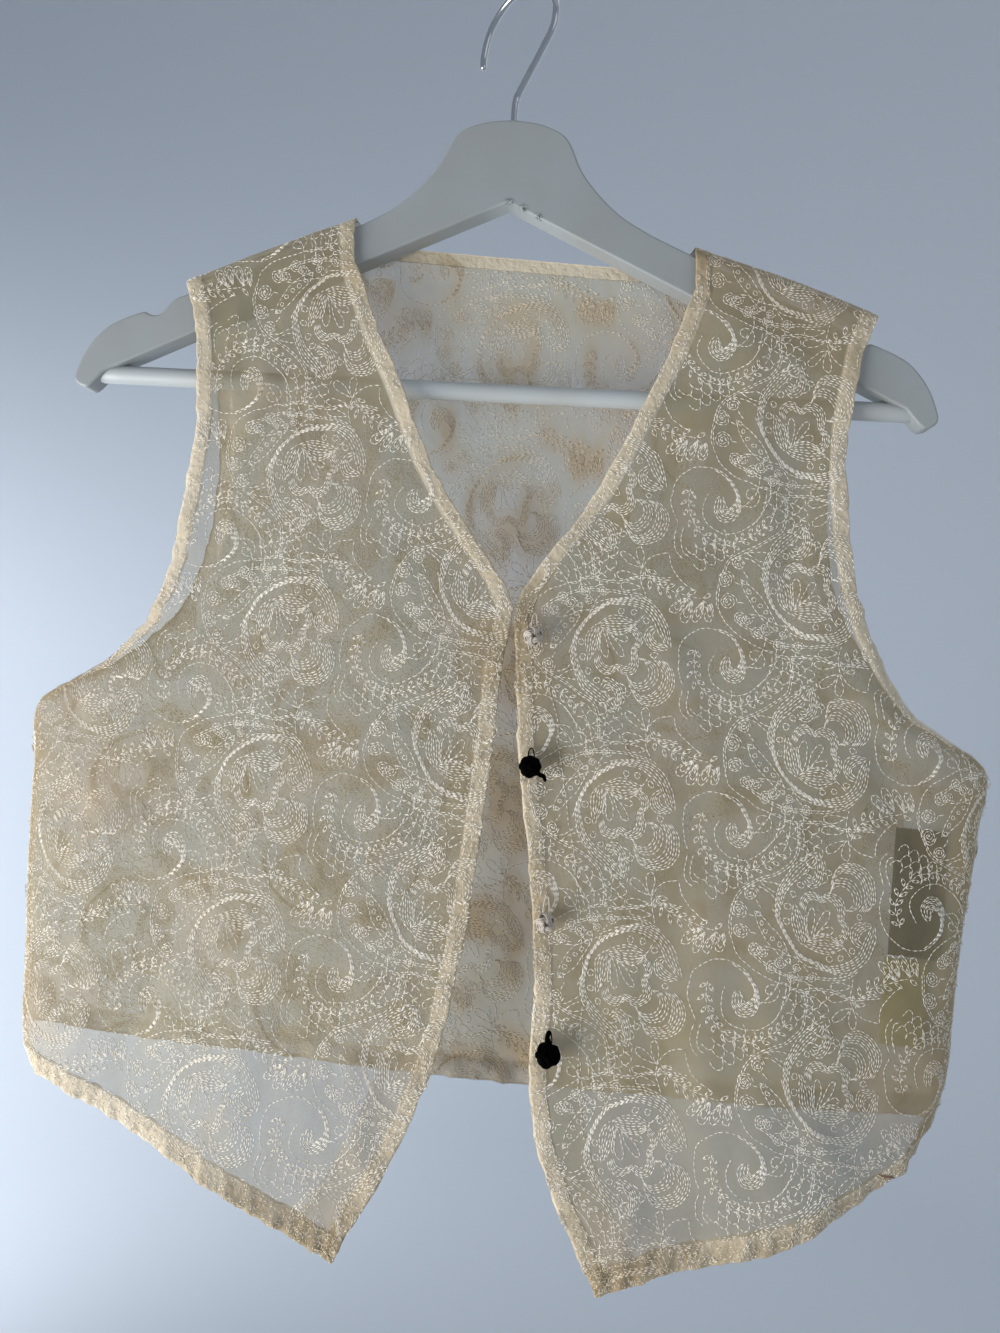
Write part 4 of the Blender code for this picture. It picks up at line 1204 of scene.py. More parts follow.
@dataclass
class FrontForm:
    """Form of one front: rounded over the shoulder, then hanging in soft folds."""

    side: Side
    rows: Rows
    columns: int = 106
    wave_seed: float = 0.7

    def build(self) -> Panel:
        """Work out the front's surface.

        Formula: each level is a straight run from the inner to the outer edge, bowed, set out by
        the body's rounding and the folds; the first levels turn over the crest. The relief of
        creases, ripples and puckered edges is added along the normals.

        Returns:
            The panel.
        """
        rows = refine(self.rows) * MM
        inner_x, inner_z, outer_x, outer_z, inner_y, outer_y, bow, _ = rows.T[..., None]
        ends = np.linspace(0.0, 1.0, self.columns)
        across = ends - 0.055 * np.sin(2.0 * math.pi * ends)  # closer columns at both edges
        down = np.linspace(0.0, 1.0, len(rows))[:, None]
        x = inner_x + (outer_x - inner_x) * across
        z = inner_z + (outer_z - inner_z) * across + bow * np.sin(math.pi * across**1.4)
        y = outer_y + (inner_y - outer_y) * body_round(across)
        y = y - fold_depth(self.side, across, down, 8.0)
        below = np.stack([x, y, z], axis=2)
        upper = [over_crest(*below[:2], share, -1) for share in np.linspace(0.0, 1.0, 9)]
        shares = np.linspace(0.0, 1.0, 6)[1:-1, None, None]
        between = upper[-1] + (below[1] - upper[-1]) * shares
        grid = np.concatenate([np.array(upper), between, densify(below[1:])])
        panel = drape(f"{self.side.value}_front", self.side, grid, self.wave_seed)
        panel.turn[0] = (0.0, 0.0, 1.0)
        face_sideways(panel, -1, {-1: 1.0 if self.side is Side.LEFT else -1.0})
        return panel


@dataclass
class BackForm:
    """Form of the back: its neck edge drops round the crest between the shoulders."""

    columns: int = 176
    wave_seed: float = 5.3

    def build(self) -> Panel:
        """Work out the back's surface.

        Formula: each level runs from side to side, keeps a share of the shoulder line's rise,
        sags in its middle and is rounded to the side seams. Between the neck points the edge
        starts a sine of its distance from them down the arch.

        Returns:
            The panel.
        """
        rows = refine(BACK_ROWS)
        left_x, left_z, right_x, right_z, side_y, mid_y, hump, sag = (rows * MM).T[..., None]
        width = right_x - left_x
        neck = (np.array([NECK_LEFT, NECK_RIGHT]) - left_x[0]) / width[0]
        across = self.shares_across(neck, NECK_TURN / width[0, 0])
        down = np.linspace(0.0, 1.0, len(rows))[:, None]
        line = np.array(SHOULDER_LINE_MM) * MM
        rise = np.interp(left_x[0] + width[0] * across, line[:, 0], line[:, 1])
        rise -= left_z[0] + (right_z[0] - left_z[0]) * across
        middle = np.abs(2.0 * across - 1.0)
        x = left_x + width * across
        z = left_z + (right_z - left_z) * across + hump / MM * rise + sag * (1.0 - middle**4)
        y = side_y + (mid_y - side_y) * body_round(middle) + fold_depth(None, across, down, 12.0)
        below = np.stack([x, y, z], axis=2)
        grid = np.concatenate([self.round_neck(below[0], below[1]), densify(below[1:])])
        panel = drape("back", None, grid, self.wave_seed)
        panel.turn[0, (across <= neck[0] + 1e-9) | (across >= neck[1] - 1e-9)] = (0.0, 0.0, 1.0)
        face_sideways(panel, 0, {0: -1.0, -1: 1.0})
        return panel

    def shares_across(self, neck: Array, turn: float) -> Array:
        """Shares of the width for the columns, closer where the neck edge starts to drop."""
        ends = np.linspace(0.0, 1.0, self.columns)
        across = ends - 0.03 * np.sin(2.0 * math.pi * ends)
        finer = turn * np.linspace(0.0, 1.2, 7)
        clear = (np.abs(across - neck[0] - 0.6 * turn) > 0.6 * turn) & (
            np.abs(across - neck[1] + 0.6 * turn) > 0.6 * turn
        )
        return np.sort(np.concatenate([across[clear], neck[0] + finer, neck[1] - finer]))

    @staticmethod
    def round_neck(crest: Array, row_1: Array) -> Array:
        """Levels from the shoulder line and neck edge down to the table's next row.

        Args:
            crest: Points of the shoulder line.
            row_1: Points of the next row.

        Returns:
            The levels above that row.
        """
        arch_length = 0.25 * math.pi * (ARCH_REACH + ARCH_DROP)
        foot = crest - (0.0, 0.0, ARCH_DROP)
        foot[:, 1] = SEAM_HALF + ARCH_REACH
        straight = np.linalg.norm(row_1 - foot, axis=1)
        inward = np.minimum(crest[:, 0] - NECK_LEFT, NECK_RIGHT - crest[:, 0])
        start = arch_length * np.sin(0.5 * math.pi * np.clip(inward / NECK_TURN, 0.0, 1.0))
        levels = []
        for share in np.linspace(0.0, 1.0, 16)[:-1]:
            length = start + (arch_length + straight - start) * share
            point = over_crest(crest, row_1, length / arch_length, 1)
            over = np.clip((length - arch_length) / straight, 0.0, 1.0)[:, None]
            levels.append(point + (row_1 - point) * over)
        return np.array(levels)


# ------------------------------------------------------------------ embroidery
Place = tuple[float, float]
Places = tuple[Place, ...]
CHART_UNIT = 0.944 * MM  # one unit of the chart on the cloth
TILE_WIDE = 97.5  # across from a peony to the flipped one beside it, in chart units
TILE_HIGH = 81.5  # down to the next repeat
TILE_FLIP = 39.5  # height of the flipped peony above the upright one


def left_of(direction: Array) -> Array:
    """Directions of the plane turned left by a quarter turn."""
    return np.stack([-direction[..., 1], direction[..., 0]], -1)


def points_at(line: Array, lengths: Array, marks: Array | float) -> Array:
    """Points of a line at the marks, from the lengths at which its own points lie."""
    return np.stack([np.interp(marks, lengths, column) for column in line.T], -1)


@dataclass
class Chart:
    """Chart of the pattern's half repeat, as runs of chain stitch in chart units."""

    runs: list[tuple[Array, float]] = field(default_factory=list)
    TURN: ClassVar[float] = 1.05  # radians that one stitch may turn
    LONG: ClassVar[float] = 2.8  # length of a stitch

    def run(self, points: Array, heavy: float = 0.0) -> None:
        """Add one run of stitches, heavy (1) where it helps to fill a shape."""
        self.runs.append((np.asarray(points, float), heavy))

    def vine(self, points: Places, rows: int = 1) -> None:
        """Add a smooth line of one or two rows."""
        line = smooth_path(points, 6)
        side = left_of(unit(np.gradient(line, axis=0)))
        for row in range(rows):
            self.run(line + side * (row - 0.5 * (rows - 1)) * 1.05)

    def arc(self, centre: Place, radius: float, start: float, end: float) -> None:
        """Add an arc between two angles in degrees."""
        angle = np.radians(np.linspace(start, end, 14))
        self.run(np.stack([np.cos(angle), np.sin(angle)], 1) * radius + centre)

    def fill(self, first: Places, last: Places, pitch: float = 1.36) -> None:
        """Fill the space between two curves with rows of stitches.

        Formula: every row mixes the two curves in one share; an inner row pauses where the rows
        would be closer than 0.6 of the pitch, every other one only below 0.3.

        Args:
            first: Points of one curve.
            last: Points of the other.
            pitch: Distance between rows where the shape is widest.
        """
        ends = []
        for curve in (first, last):
            line = smooth_path(curve, 12)
            run = run_lengths(line)
            ends.append(points_at(line, run, np.linspace(0.0, run[-1], 64)))
        gap = np.linalg.norm(ends[0] - ends[1], axis=1)
        count = max(2, int(round(float(gap.max()) / pitch)) + 1)
        for row in range(count):
            share = row / (count - 1)
            path = (1.0 - share) * ends[0] + share * ends[1]
            limit = 0.0 if row in (0, count - 1) else (0.6 if row % 2 else 0.3) * pitch
            marks = np.flatnonzero(gap / (count - 1) >= limit)
            if len(marks) > 3:
                self.run(path[marks[0] : marks[-1] + 1], 1.0)

    def petal(self, base: Place, lean: float, long: float, wide: float, heavy: float = 0.0) -> None:
        """Add a teardrop loop.

        Formula: out and back along its axis, sideways by the sine of the way round times the
        square root of the distance out.

        Args:
            base: Its pointed end.
            lean: Direction of its axis in degrees.
            long: Its length.
            wide: Its greatest width.
            heavy: Whether it helps to fill a shape.
        """
        way = np.linspace(0.0, 2.0 * math.pi, 26)
        out = 0.5 * long * (1.0 - np.cos(way))
        beside = 0.56 * wide * np.sin(way) * np.sqrt(np.clip(out / long, 0.0, 1.0))
        axis = heading(lean)
        self.run(base + out[:, None] * axis + beside[:, None] * left_of(axis), heavy)

    def full_petal(self, base: Place, lean: float, long: float, wide: float) -> None:
        """Add a teardrop filled with smaller ones."""
        for share in (1.0, 0.62, 0.15):
            self.petal(base, lean, long * (0.4 + 0.6 * share), wide * share, 1.0)

    def eyelet(self, centre: Place, radius: float = 1.75) -> None:
        """Add a small ring."""
        self.arc(centre, radius, 0.0, 360.0)

    def rosette(self, centre: Place, radius: float, stalk: Place) -> None:
        """Add a berry worked as a spiral, and the stalk it hangs on."""
        turns = max(2.0, radius / 1.3)
        angle = np.linspace(0.0, 2.0 * math.pi * turns, int(turns * 14))
        reach = np.linspace(radius, 0.6, len(angle))[:, None]
        self.run(np.stack([np.cos(angle), np.sin(angle)], 1) * reach + centre, 0.5)
        out = (np.array(stalk) - centre) / math.dist(stalk, centre)
        self.run(np.linspace(centre + out * radius, stalk, 5))

    def wheat(self, points: Places, pairs: int, long: float) -> None:
        """Add a stem with pairs of narrow pointed leaves.

        Formula: each leaf is two bowed rows that leave the stem at 45 degrees and meet at its tip.

        Args:
            points: Points of the stem.
            pairs: Number of leaf pairs.
            long: Length of a leaf.
        """
        stem = smooth_path(points, 10)
        along = np.gradient(stem, axis=0)
        bearing = np.unwrap(np.arctan2(along[:, 1], along[:, 0]))
        steps = np.arange(len(stem))
        for place in (np.arange(pairs) + 0.3) / pairs * (len(stem) - 1):
            base = points_at(stem, steps, place)
            for way in (-0.78, 0.78):
                axis = heading(math.degrees(np.interp(place, steps, bearing) + way)) * long
                for bulge in (-0.17, 0.17):
                    middle = base + axis * 0.55 + left_of(axis) * bulge
                    self.run(np.array([base + axis * 0.12, middle, base + axis]), 1.0)
        self.run(stem[::6])

    def scales(self, corner: Place, counts: tuple[int, int], size: Place, lean: float) -> None:
        """Hang rows of overlapping scales in a patch.

        Formula: each scale is half an oval that opens against its lean; rows are set off by half.

        Args:
            corner: Middle of the first scale.
            counts: Scales in a row, and rows.
            size: Spacing along a row and between rows.
            lean: Direction in which the scales hang, in degrees.
        """
        hang = heading(lean) * size[1]
        across = left_of(heading(lean)) * size[0]
        angle = np.linspace(-0.5 * math.pi, 0.5 * math.pi, 10)[:, None]
        scale = np.cos(angle) * hang * 1.15 + np.sin(angle) * across * 0.52
        for row in range(counts[1]):
            for k in range(counts[0]):
                self.run(corner + hang * row + across * (k + 0.5 * (row % 2)) + scale)

    def ladder(self, start: Place, end: Place, wide: float, rings: int) -> None:
        """Add a strip between two bowed rows, with a line of rings in it.

        Args:
            start: Middle of its first end.
            end: Middle of its last end.
            wide: Its width.
            rings: Rings along it.
        """
        line = np.linspace(start, end, 12)
        side = left_of(unit(line[-1] - line[0])) * wide
        bow = np.sin(np.linspace(0.0, math.pi, 12))[:, None] ** 0.6
        for way in (-0.5, 0.5):
            self.run(line + side * way * bow)
        for share in (np.arange(rings) + 0.5) / rings:
            reach = 0.14 * math.cos(9.0 * share)
            self.eyelet(line[0] + (line[-1] - line[0]) * share + side * reach, 1.25)

    def peony(self) -> None:
        """Peony in its ring, whose two ends curl back into heads, and the moon below it."""
        self.fill(
            (
                (24.4, 4), (23.6, 12), (20.4, 20.2), (14, 26), (6, 28), (-4, 25.8), (-13, 21.2),
                (-20, 13.6), (-24.6, 4), (-25.6, -6), (-22.8, -15), (-17, -22.6), (-9.4, -28.4),
                (-3.4, -31),
            ),
            (
                (23, 3.4), (19, 9.6), (15.6, 17.4), (10.4, 22.2), (4, 24.4), (-4, 24), (-12.4, 20.2),
                (-19, 12.8), (-22.8, 4), (-22.8, -5), (-19.4, -12.6), (-13.2, -18.6), (-7.2, -24.6),
                (-3.6, -30.2),
            ),
        )
        self.fill(
            ((22.6, 3.2), (17, 1.8), (12.6, 4.2), (11.2, 8.6), (13, 12.6), (16.6, 14.6)),
            ((22.6, 4.6), (18.4, 6), (16, 8), (15.4, 10), (15.8, 11.6), (17.4, 12.8)),
        )
        self.fill(
            ((-3, -30.6), (-1, -24.6), (-1.2, -19), (-4.4, -14.2), (-8.8, -13.4), (-11.4, -17.2)),
            ((-3.4, -29.8), (-4.4, -25.4), (-4.8, -21.6), (-6, -19), (-8, -17.8), (-9.6, -18.6)),
        )
        for spot in (
            (-20.4, 3.6), (-20, -3.6), (-17.2, -10), (-13.4, -14.6), (0.2, 20.6), (6.2, 20.4),
            (12.2, 16.6), (16.2, -0.6), (1.8, -21.2),
        ):
            self.eyelet(spot)
        self.fill(
            ((-12.2, 14.2), (-6.4, 17.6), (0, 18.4), (5, 16.4), (8.2, 15)),
            ((-11, 13), (-6, 9.8), (-0.6, 8.4), (3.8, 10.6), (8, 14.8)),
        )
        self.fill(
            ((-12.6, 14.4), (-17, 10), (-18, 4), (-17.4, -5.4)),
            ((-12, 13.4), (-11.2, 9), (-11.8, 3), (-16.6, -4.8)),
        )
        self.fill(
            (
                (-14.4, -4), (-13.6, -8.2), (-10.4, -11.2), (-6.2, -11.4), (-3, -8.2), (0, -11),
                (4.4, -11), (8.2, -7.6), (8.8, -2.6), (7.2, 1.6), (10.2, 4.4), (10.4, 8.6), (8, 12.4),
                (4.6, 13.6),
            ),
            (
                (-11.8, -2.2), (-10.8, -5.6), (-8.4, -7.6), (-5.6, -7.4), (-2.8, -5.6), (0.6, -7.2),
                (3.2, -6.8), (5, -4.6), (5.2, -1.6), (4.8, 1.8), (7, 4.6), (7.2, 7.2), (5.6, 9.8),
                (3, 11),
            ),
            1.25,
        )
        for base, lean, long, wide in (
            ((-9.8, 12), -84, 15.8, 4.6), ((-7.4, 10.4), -58, 15.4, 4.4), ((-6, 9.4), -20, 10, 4.2),
            ((-10.4, 11), -96, 12, 1.6),
        ):
            self.petal(base, lean, long, wide)
        self.vine(((3, 11.6), (8, 15.4), (11.6, 20)))
        self.fill(
            ((1.8, -10.6), (4.4, -14.6), (8.6, -15), (12.4, -12), (13.6, -7.8), (12, -4.4), (8.6, -2.8)),
            (
                (2.8, -13.6), (6, -18.2), (10.4, -18.6), (15.4, -15.6), (17.8, -10.2), (16.6, -5.4),
                (11.6, -2.6),
            ),
        )
        self.fill(
            (
                (2.8, -15.4), (6.2, -20.4), (11.6, -21), (17.4, -17.8), (19.8, -11.6), (18.8, -6.6),
                (16, -3),
            ),
            ((3, -16.4), (6.4, -24), (12.4, -26), (19.8, -24), (25, -17.6), (25.4, -9), (21.2, -3.4)),
        )

    def scroll(self) -> None:
        """Great scroll with its head, the garland round it and the lines beside it."""
        self.vine(
            ((30.2, -14.6), (27.6, -6), (28.8, 5.4), (33, 10.8), (38.8, 14.2), (44, 15), (49, 14.2)),
        )
        self.fill(
            (
                (49, 14.4), (55.2, 11.6), (59.4, 6.6), (62, 0), (61.6, -6), (58, -11), (52.4, -11.4),
                (49, -7), (49.4, -1.6), (52.2, 1.2),
            ),
            (
                (49.2, 13.6), (54.6, 10.6), (58.4, 5.6), (60.2, 0), (57.6, -4), (56.6, -5.2), (55, -5.4),
                (54.2, -4), (54.4, -1.6), (53.2, 0.6),
            ),
        )
        self.vine(
            (
                (46, 1.8), (43.4, -3.4), (43.4, -9.8), (47, -14.8), (53, -17.6), (59.8, -17.2),
                (65.6, -14.2), (70.8, -9.4), (74, -3.4), (75.8, 4.2),
            ),
        )
        self.wheat(
            (
                (37.4, 4.6), (35.8, -2.6), (36.4, -9.8), (39.6, -15.8), (45, -20.6), (52.4, -23.4),
                (59, -22.9), (65, -19.8), (70.6, -16.6), (74.6, -12.6),
            ),
            13,
            5,
        )
        self.vine(
            (
                (64, -3.6), (69.4, -3.2), (71.8, 1), (70.4, 4.6), (67, 5.4), (64.2, 3.2), (65.2, 0.6),
                (68, 0.4), (68.2, 2.4),
            ),
        )
        self.vine(((80.6, 3.4), (79.8, -5), (76.2, -12.2)))
        self.vine(
            (
                (84.6, 3), (85, -5), (82.4, -15.2), (74, -21.6), (64.8, -26.4), (56.2, -31.4),
                (51.6, -38.8), (49.2, -47), (49, -54.6),
            ),
            2,
        )
        self.petal((64.5, -27.4), -14, 12.5, 5.6)
        self.vine(((60, -29.4), (67, -31), (73, -36)))
        for reach in (0, 3.2):
            self.vine(
                (
                    (29.8 + reach, -16.2), (28 + reach, -23), (28.4 + reach, -29),
                    (32 + reach, -32.4 + 0.5 * reach),
                ),
            )
        self.scales((35.6, -24.6), (4, 3), (5.8, 4.6), -62)
        self.scales((86.6, -24.6), (5, 3), (6, 4), 8)
        self.vine(((25, -30.6), (26.2, -37.2), (31, -43.6), (38, -48.4)))

    def sprays(self) -> None:
        """Vines, berries on stalks, wheat sprigs, loops and scales between the great motifs."""
        self.wheat(((12.8, 43.6), (17.2, 37), (24, 33.4), (33, 31), (45, 28.6)), 7, 6)
        for place, lean, long in (
            ((34, 30), 226, 12.6), ((36.4, 28.6), 245, 12.8), ((42, 28.6), 243, 12.4),
            ((46, 28), 254, 10.6),
        ):
            self.full_petal(place, lean, long, 5)
        self.vine(((49, 27), (51.8, 18.2), (59.8, 11.6), (71.4, 6.2), (84.8, 2.8)))
        self.vine(((84.8, 2.8), (96, 3.6), (108, 0.6), (124, 1)), 2)
        for centre, radius, stalk in (
            ((60, 48), 3.7, (64.6, 41)), ((53.6, 40), 4.5, (61, 37.4)), ((54.2, 29.4), 4.3, (62.6, 29)),
            ((60, 20.6), 3.7, (68, 21.8)), ((68.6, 13.6), 3.6, (76.6, 15.2)), ((79, 9), 3.4, (80.4, 14)),
            ((88.8, 8.6), 2.9, (84, 14.8)),
        ):
            self.rosette(centre, radius, stalk)
        self.ladder((61, 40), (78.6, 15.4), 6.6, 7)
        self.vine(((70.4, 42), (75, 32), (80, 24), (84.6, 15.4), (95, 12.2)))
        self.vine(((25, -29.8), (17.6, -31.6), (13, -35.6), (10.6, -41), (11.2, -47), (12.6, -52)))
        for base, lean, long in (
            ((11, -38.6), 92, 12), ((10.6, -38.2), 143, 12.6), ((10, -42.2), 178, 11.6),
            ((11, -48.2), 174, 11.4),
        ):
            self.petal(base, lean, long, 4.8)
        self.vine(((-30, -29), (-25, -35), (-20.4, -42.6), (-19.6, -51.4)))
        self.vine(((-38, -36), (-31, -41), (-26.4, -47.6), (-25.2, -54)))
        self.scales((-22.4, -29.8), (3, 3), (-7.4, 4.7), -8)
        self.vine(((-38, 21.2), (-24.6, 28.6), (-12.4, 30.8), (6.6, 30.2), (15.8, 25.4)), 2)
        self.vine(((-13.6, 21.4), (-4.6, 26.2), (6.8, 29)))
        self.rosette((-25, 23.6), 3.1, (-23, 18.6))
        self.rosette((-16.4, 25.4), 2.3, (-14.4, 21.6))
        self.rosette((-34, 19), 3, (-31, 16.6))
        self.vine(((-32.6, 16.2), (-26, 17.2), (-20.8, 19.8), (-13.6, 21.4)))

    def stitches(self) -> tuple[Array, Array, Array]:
        """Cut every run into stitches of nearly equal length, shorter where the run turns.

        Returns:
            Starts and ends of all stitches, and how heavy each one's run is.
        """
        random = np.random.default_rng(5)
        starts, ends, heavy = [], [], []
        for points, weight in self.runs:
            total, step = run_lengths(points), np.diff(points, axis=0)
            bearing = np.unwrap(np.arctan2(step[:, 1], step[:, 0]))
            turning = float(np.abs(np.diff(bearing)).sum())
            count = max(1, int(round(total[-1] / self.LONG)), int(turning / self.TURN))
            marks = np.linspace(0.0, total[-1], count + 1)
            if count > 2:
                marks[1:-1] += random.uniform(-0.42, 0.42) * total[-1] / count
                marks[1:-1] += random.normal(0.0, 0.08, count - 1) * self.LONG
            line = points_at(points, total, marks)
            starts.append(line[:-1])
            ends.append(line[1:])
            heavy.append(np.full(count, weight))
        return np.concatenate(starts), np.concatenate(ends), np.concatenate(heavy)

    @classmethod
    def pattern(cls) -> Chart:
        """The whole half repeat."""
        chart = cls()
        chart.peony()
        chart.scroll()
        chart.sprays()
        return chart


@dataclass(frozen=True)
class Repeat:
    """How the repeat lies on a panel: the middle of one peony, and the cloth's skew."""

    x_mm: float
    z_mm: float
    lean_down: float  # x for each unit of height
    lean_across: float  # height for each unit of x

    def place(self, points: Array, column: int, row: int, flipped: bool) -> Array:
        """Carry chart points to one repeat on the flat cloth.

        Formula: the flipped half is turned over top to bottom and moved half a repeat across;
        the cloth's skew then leans both coordinates.

        Args:
            points: Chart points.
            column: Which whole repeat across.
            row: Which repeat down.
            flipped: Whether it is the flipped half.

        Returns:
            Flat coordinates in metres.
        """
        x, y = points.T
        if flipped:
            x, y = x + TILE_WIDE, TILE_FLIP - y
        x, y = x + 2.0 * TILE_WIDE * column, y - TILE_HIGH * row
        flat_x = self.x_mm * MM + (x + self.lean_down * y) * CHART_UNIT
        flat_z = self.z_mm * MM + (y + self.lean_across * x) * CHART_UNIT
        return np.stack([flat_x, flat_z], 1)


class Stitcher:
    """Works the chart over a panel as small raised grains of thread."""

    HIGH = 0.42 * MM
    PIECES = 2  # pieces that a panel's stitches are shared out to
    SEAM_STITCH = 1.9 * MM
    SEAM_PITCH = 2.6 * MM
    COLUMNS, ROWS = range(-3, 4), range(-5, 8)  # repeats tried over a panel

    def __init__(self, chart: Chart, material: Material) -> None:
        """Cut the chart into stitches of one thread."""
        self.starts, self.ends, self.heavy = chart.stitches()
        self.material = material
        self.random = np.random.default_rng(11)

    def embroider(self, panel: Panel, repeat: Repeat, stain_and_shade: float) -> list[Object]:
        """Cover a panel with the pattern.

        Formula: every stitch's two ends are carried to the flat cloth, wavered a little, and
        found on the panel; stitches with an end off the cloth are left out.

        Args:
            panel: The panel.
            repeat: How the pattern lies on it.
            stain_and_shade: How much browner the heavy rows are in patches, and the cloth round them,
                partly as painted shade.

        Returns:
            The pieces.
        """
        low, high = panel.flat.min((0, 1)), panel.flat.max((0, 1))
        laid = []
        for spot in itertools.product(self.COLUMNS, self.ROWS, (False, True)):
            first, last = repeat.place(self.starts, *spot), repeat.place(self.ends, *spot)
            if (first.max(0) >= low).all() and (first.min(0) <= high).all():
                laid.append(np.concatenate([first, last, self.heavy[:, None]], 1))
        first, last, heavy = np.split(np.concatenate(laid), (2, 4), axis=1)
        first = self.waver(first)
        level, column, inside = panel.find(first)
        end_level, end_column, end_inside = panel.find(self.waver(last))
        apart = np.abs(level - end_level) + np.abs(column - end_column)
        keep = inside & end_inside & (apart < 14.0)
        level, column, heavy = level[keep], column[keep], heavy[keep, 0]
        start, end = panel.at(level, column), panel.at(end_level[keep], end_column[keep])
        normal = panel.normal_at(level, column)
        aged = 0.6 * panel.blend(panel.aged, level, column)
        patches = smoothstep(0.5 + 0.5 * stain_and_shade + 0.8 * ripple(*first[keep].T, 0.037, 4.7))
        # The cloth round the heavy rows is browned, partly as staining and partly as painted shade.
        self.shade_cloth(panel, level, column, heavy * patches, 0.05 + 1.25 * stain_and_shade)
        aged += stain_and_shade * (0.35 + 0.65 * heavy) * patches
        wide = (0.52 + 0.06 * heavy) * CHART_UNIT
        pieces = []
        for chosen in np.array_split(np.argsort(start[:, 0], kind="stable"), self.PIECES):
            name = f"{panel.name}_embroidery_{len(pieces) + 1}"
            parts = (values[chosen] for values in (start, end, normal, wide, aged))
            pieces.append(self.grains(name, *parts))
        return pieces

    @staticmethod
    def shade_cloth(panel: Panel, level: Array, column: Array, heavy: Array, much: float) -> None:
        """Brown the cloth round the heavy rows, partly as staining and partly as painted shade between the
        raised stitches.

        Formula: the heavy stitches near each grid point are counted, spread over its neighbours
        twice, and added to the cloth's values for turning yellow and for painted shade.

        Args:
            panel: The panel.
            level: Levels of the stitches.
            column: Their columns.
            heavy: Weight of each stitch.
            much: Greatest change.
        """
        count = np.zeros(panel.aged.shape)
        place = np.rint(column).astype(int).clip(0, count.shape[1] - 1)
        np.add.at(count, (np.rint(level).astype(int), place), heavy)
        for _ in range(2):
            edged = np.pad(count, 1, mode="edge")
            count = 0.25 * (edged[:-2, 1:-1] + edged[2:, 1:-1] + edged[1:-1, :-2] + edged[1:-1, 2:])
        near = np.clip(count / np.percentile(count, 98.0), 0.0, 1.0)
        panel.aged += much * near
        panel.dense += 0.5 * much * near

    @staticmethod
    def waver(places: Array) -> Array:
        """Shift places by a smooth unevenness, as hand-guided stitching does."""
        x, z = places.T
        shift = np.stack([ripple(x, z, 0.021, 1.1), ripple(x, z, 0.024, 2.9)], 1)
        fine = np.stack([ripple(x, z, 0.0046, 3.3), ripple(x, z, 0.0052, 0.6)], 1)
        return places + shift * 0.45 * MM + fine * 0.22 * MM

    def grains(
        self, name: str, start: Array, end: Array, normal: Array, width: Array, aged: Array
    ) -> Object:
        """Make one grain of thread for each stitch.

        Formula: six points each - the two ends, a point to either side of the middle, one above
        it and one below the cloth's inner face - closed by eight triangles.

        Args:
            name: Name of the piece.
            start: First ends.
            end: Last ends.
            normal: Outward normals of the cloth.
            width: Widths.
            aged: How yellow each stitch is, with painted shade in places.

        Returns:
            The piece.
        """
        count = len(start)
        along = end - start
        side = unit(np.cross(normal, along))
        jitter = self.random.normal(0.0, 0.09, (count, 2))
        middle = 0.5 * (start + end) + along * jitter[:, :1] + side * jitter[:, 1:] * 0.3 * MM
        half = side * (0.5 * width * (1.0 + self.random.normal(0.0, 0.16, count)))[:, None]
        high = self.HIGH * (0.8 + 0.4 * self.random.random(count)) * width / (0.7 * MM)
        lift = normal * 0.04 * MM
        ends = [start - along * 0.10 + lift, end + along * 0.10 + lift]
        sides = [middle + half + lift, middle - half + lift]
        heights = [middle + normal * high[:, None], middle - normal * (CLOTH_WALL + 0.14 * MM)]
        upper = ((0, 3, 4), (3, 1, 4), (1, 2, 4), (2, 0, 4))
        lower = ((3, 0, 5), (1, 3, 5), (2, 1, 5), (0, 2, 5))
        faces = np.array(upper + lower) + 6 * np.arange(count)[:, None, None]
        points = np.stack(ends + sides + heights, 1)
        obj = make_mesh(name, points.reshape(-1, 3), faces.reshape(-1, 3), self.material)
        tone = np.clip(aged + self.random.normal(0.0, 0.05, count), 0.0, 1.0)
        point_values(obj, "aged", np.repeat(tone, 6))
        return obj

    def seam_line(self, name: str, panel: Panel, level: Array, column: Array) -> Object:
        """Work a line of running stitches through places of a panel.

        Args:
            name: Name of the piece.
            panel: The panel.
            level: Levels of the line.
            column: Columns of the line.

        Returns:
            The piece.
        """
        total = run_lengths(panel.at(level, column))
        count = int(total[-1] / self.SEAM_PITCH)
        marks = np.arange(count) * self.SEAM_PITCH
        places = np.stack([level, column], 1)
        first, last = (points_at(places, total, marks + far).T for far in (0.0, self.SEAM_STITCH))
        aged = panel.blend(panel.aged, *first)
        width = np.full(count, 0.42 * MM)
        return self.grains(name, panel.at(*first), panel.at(*last), panel.normal_at(*first), width, aged)

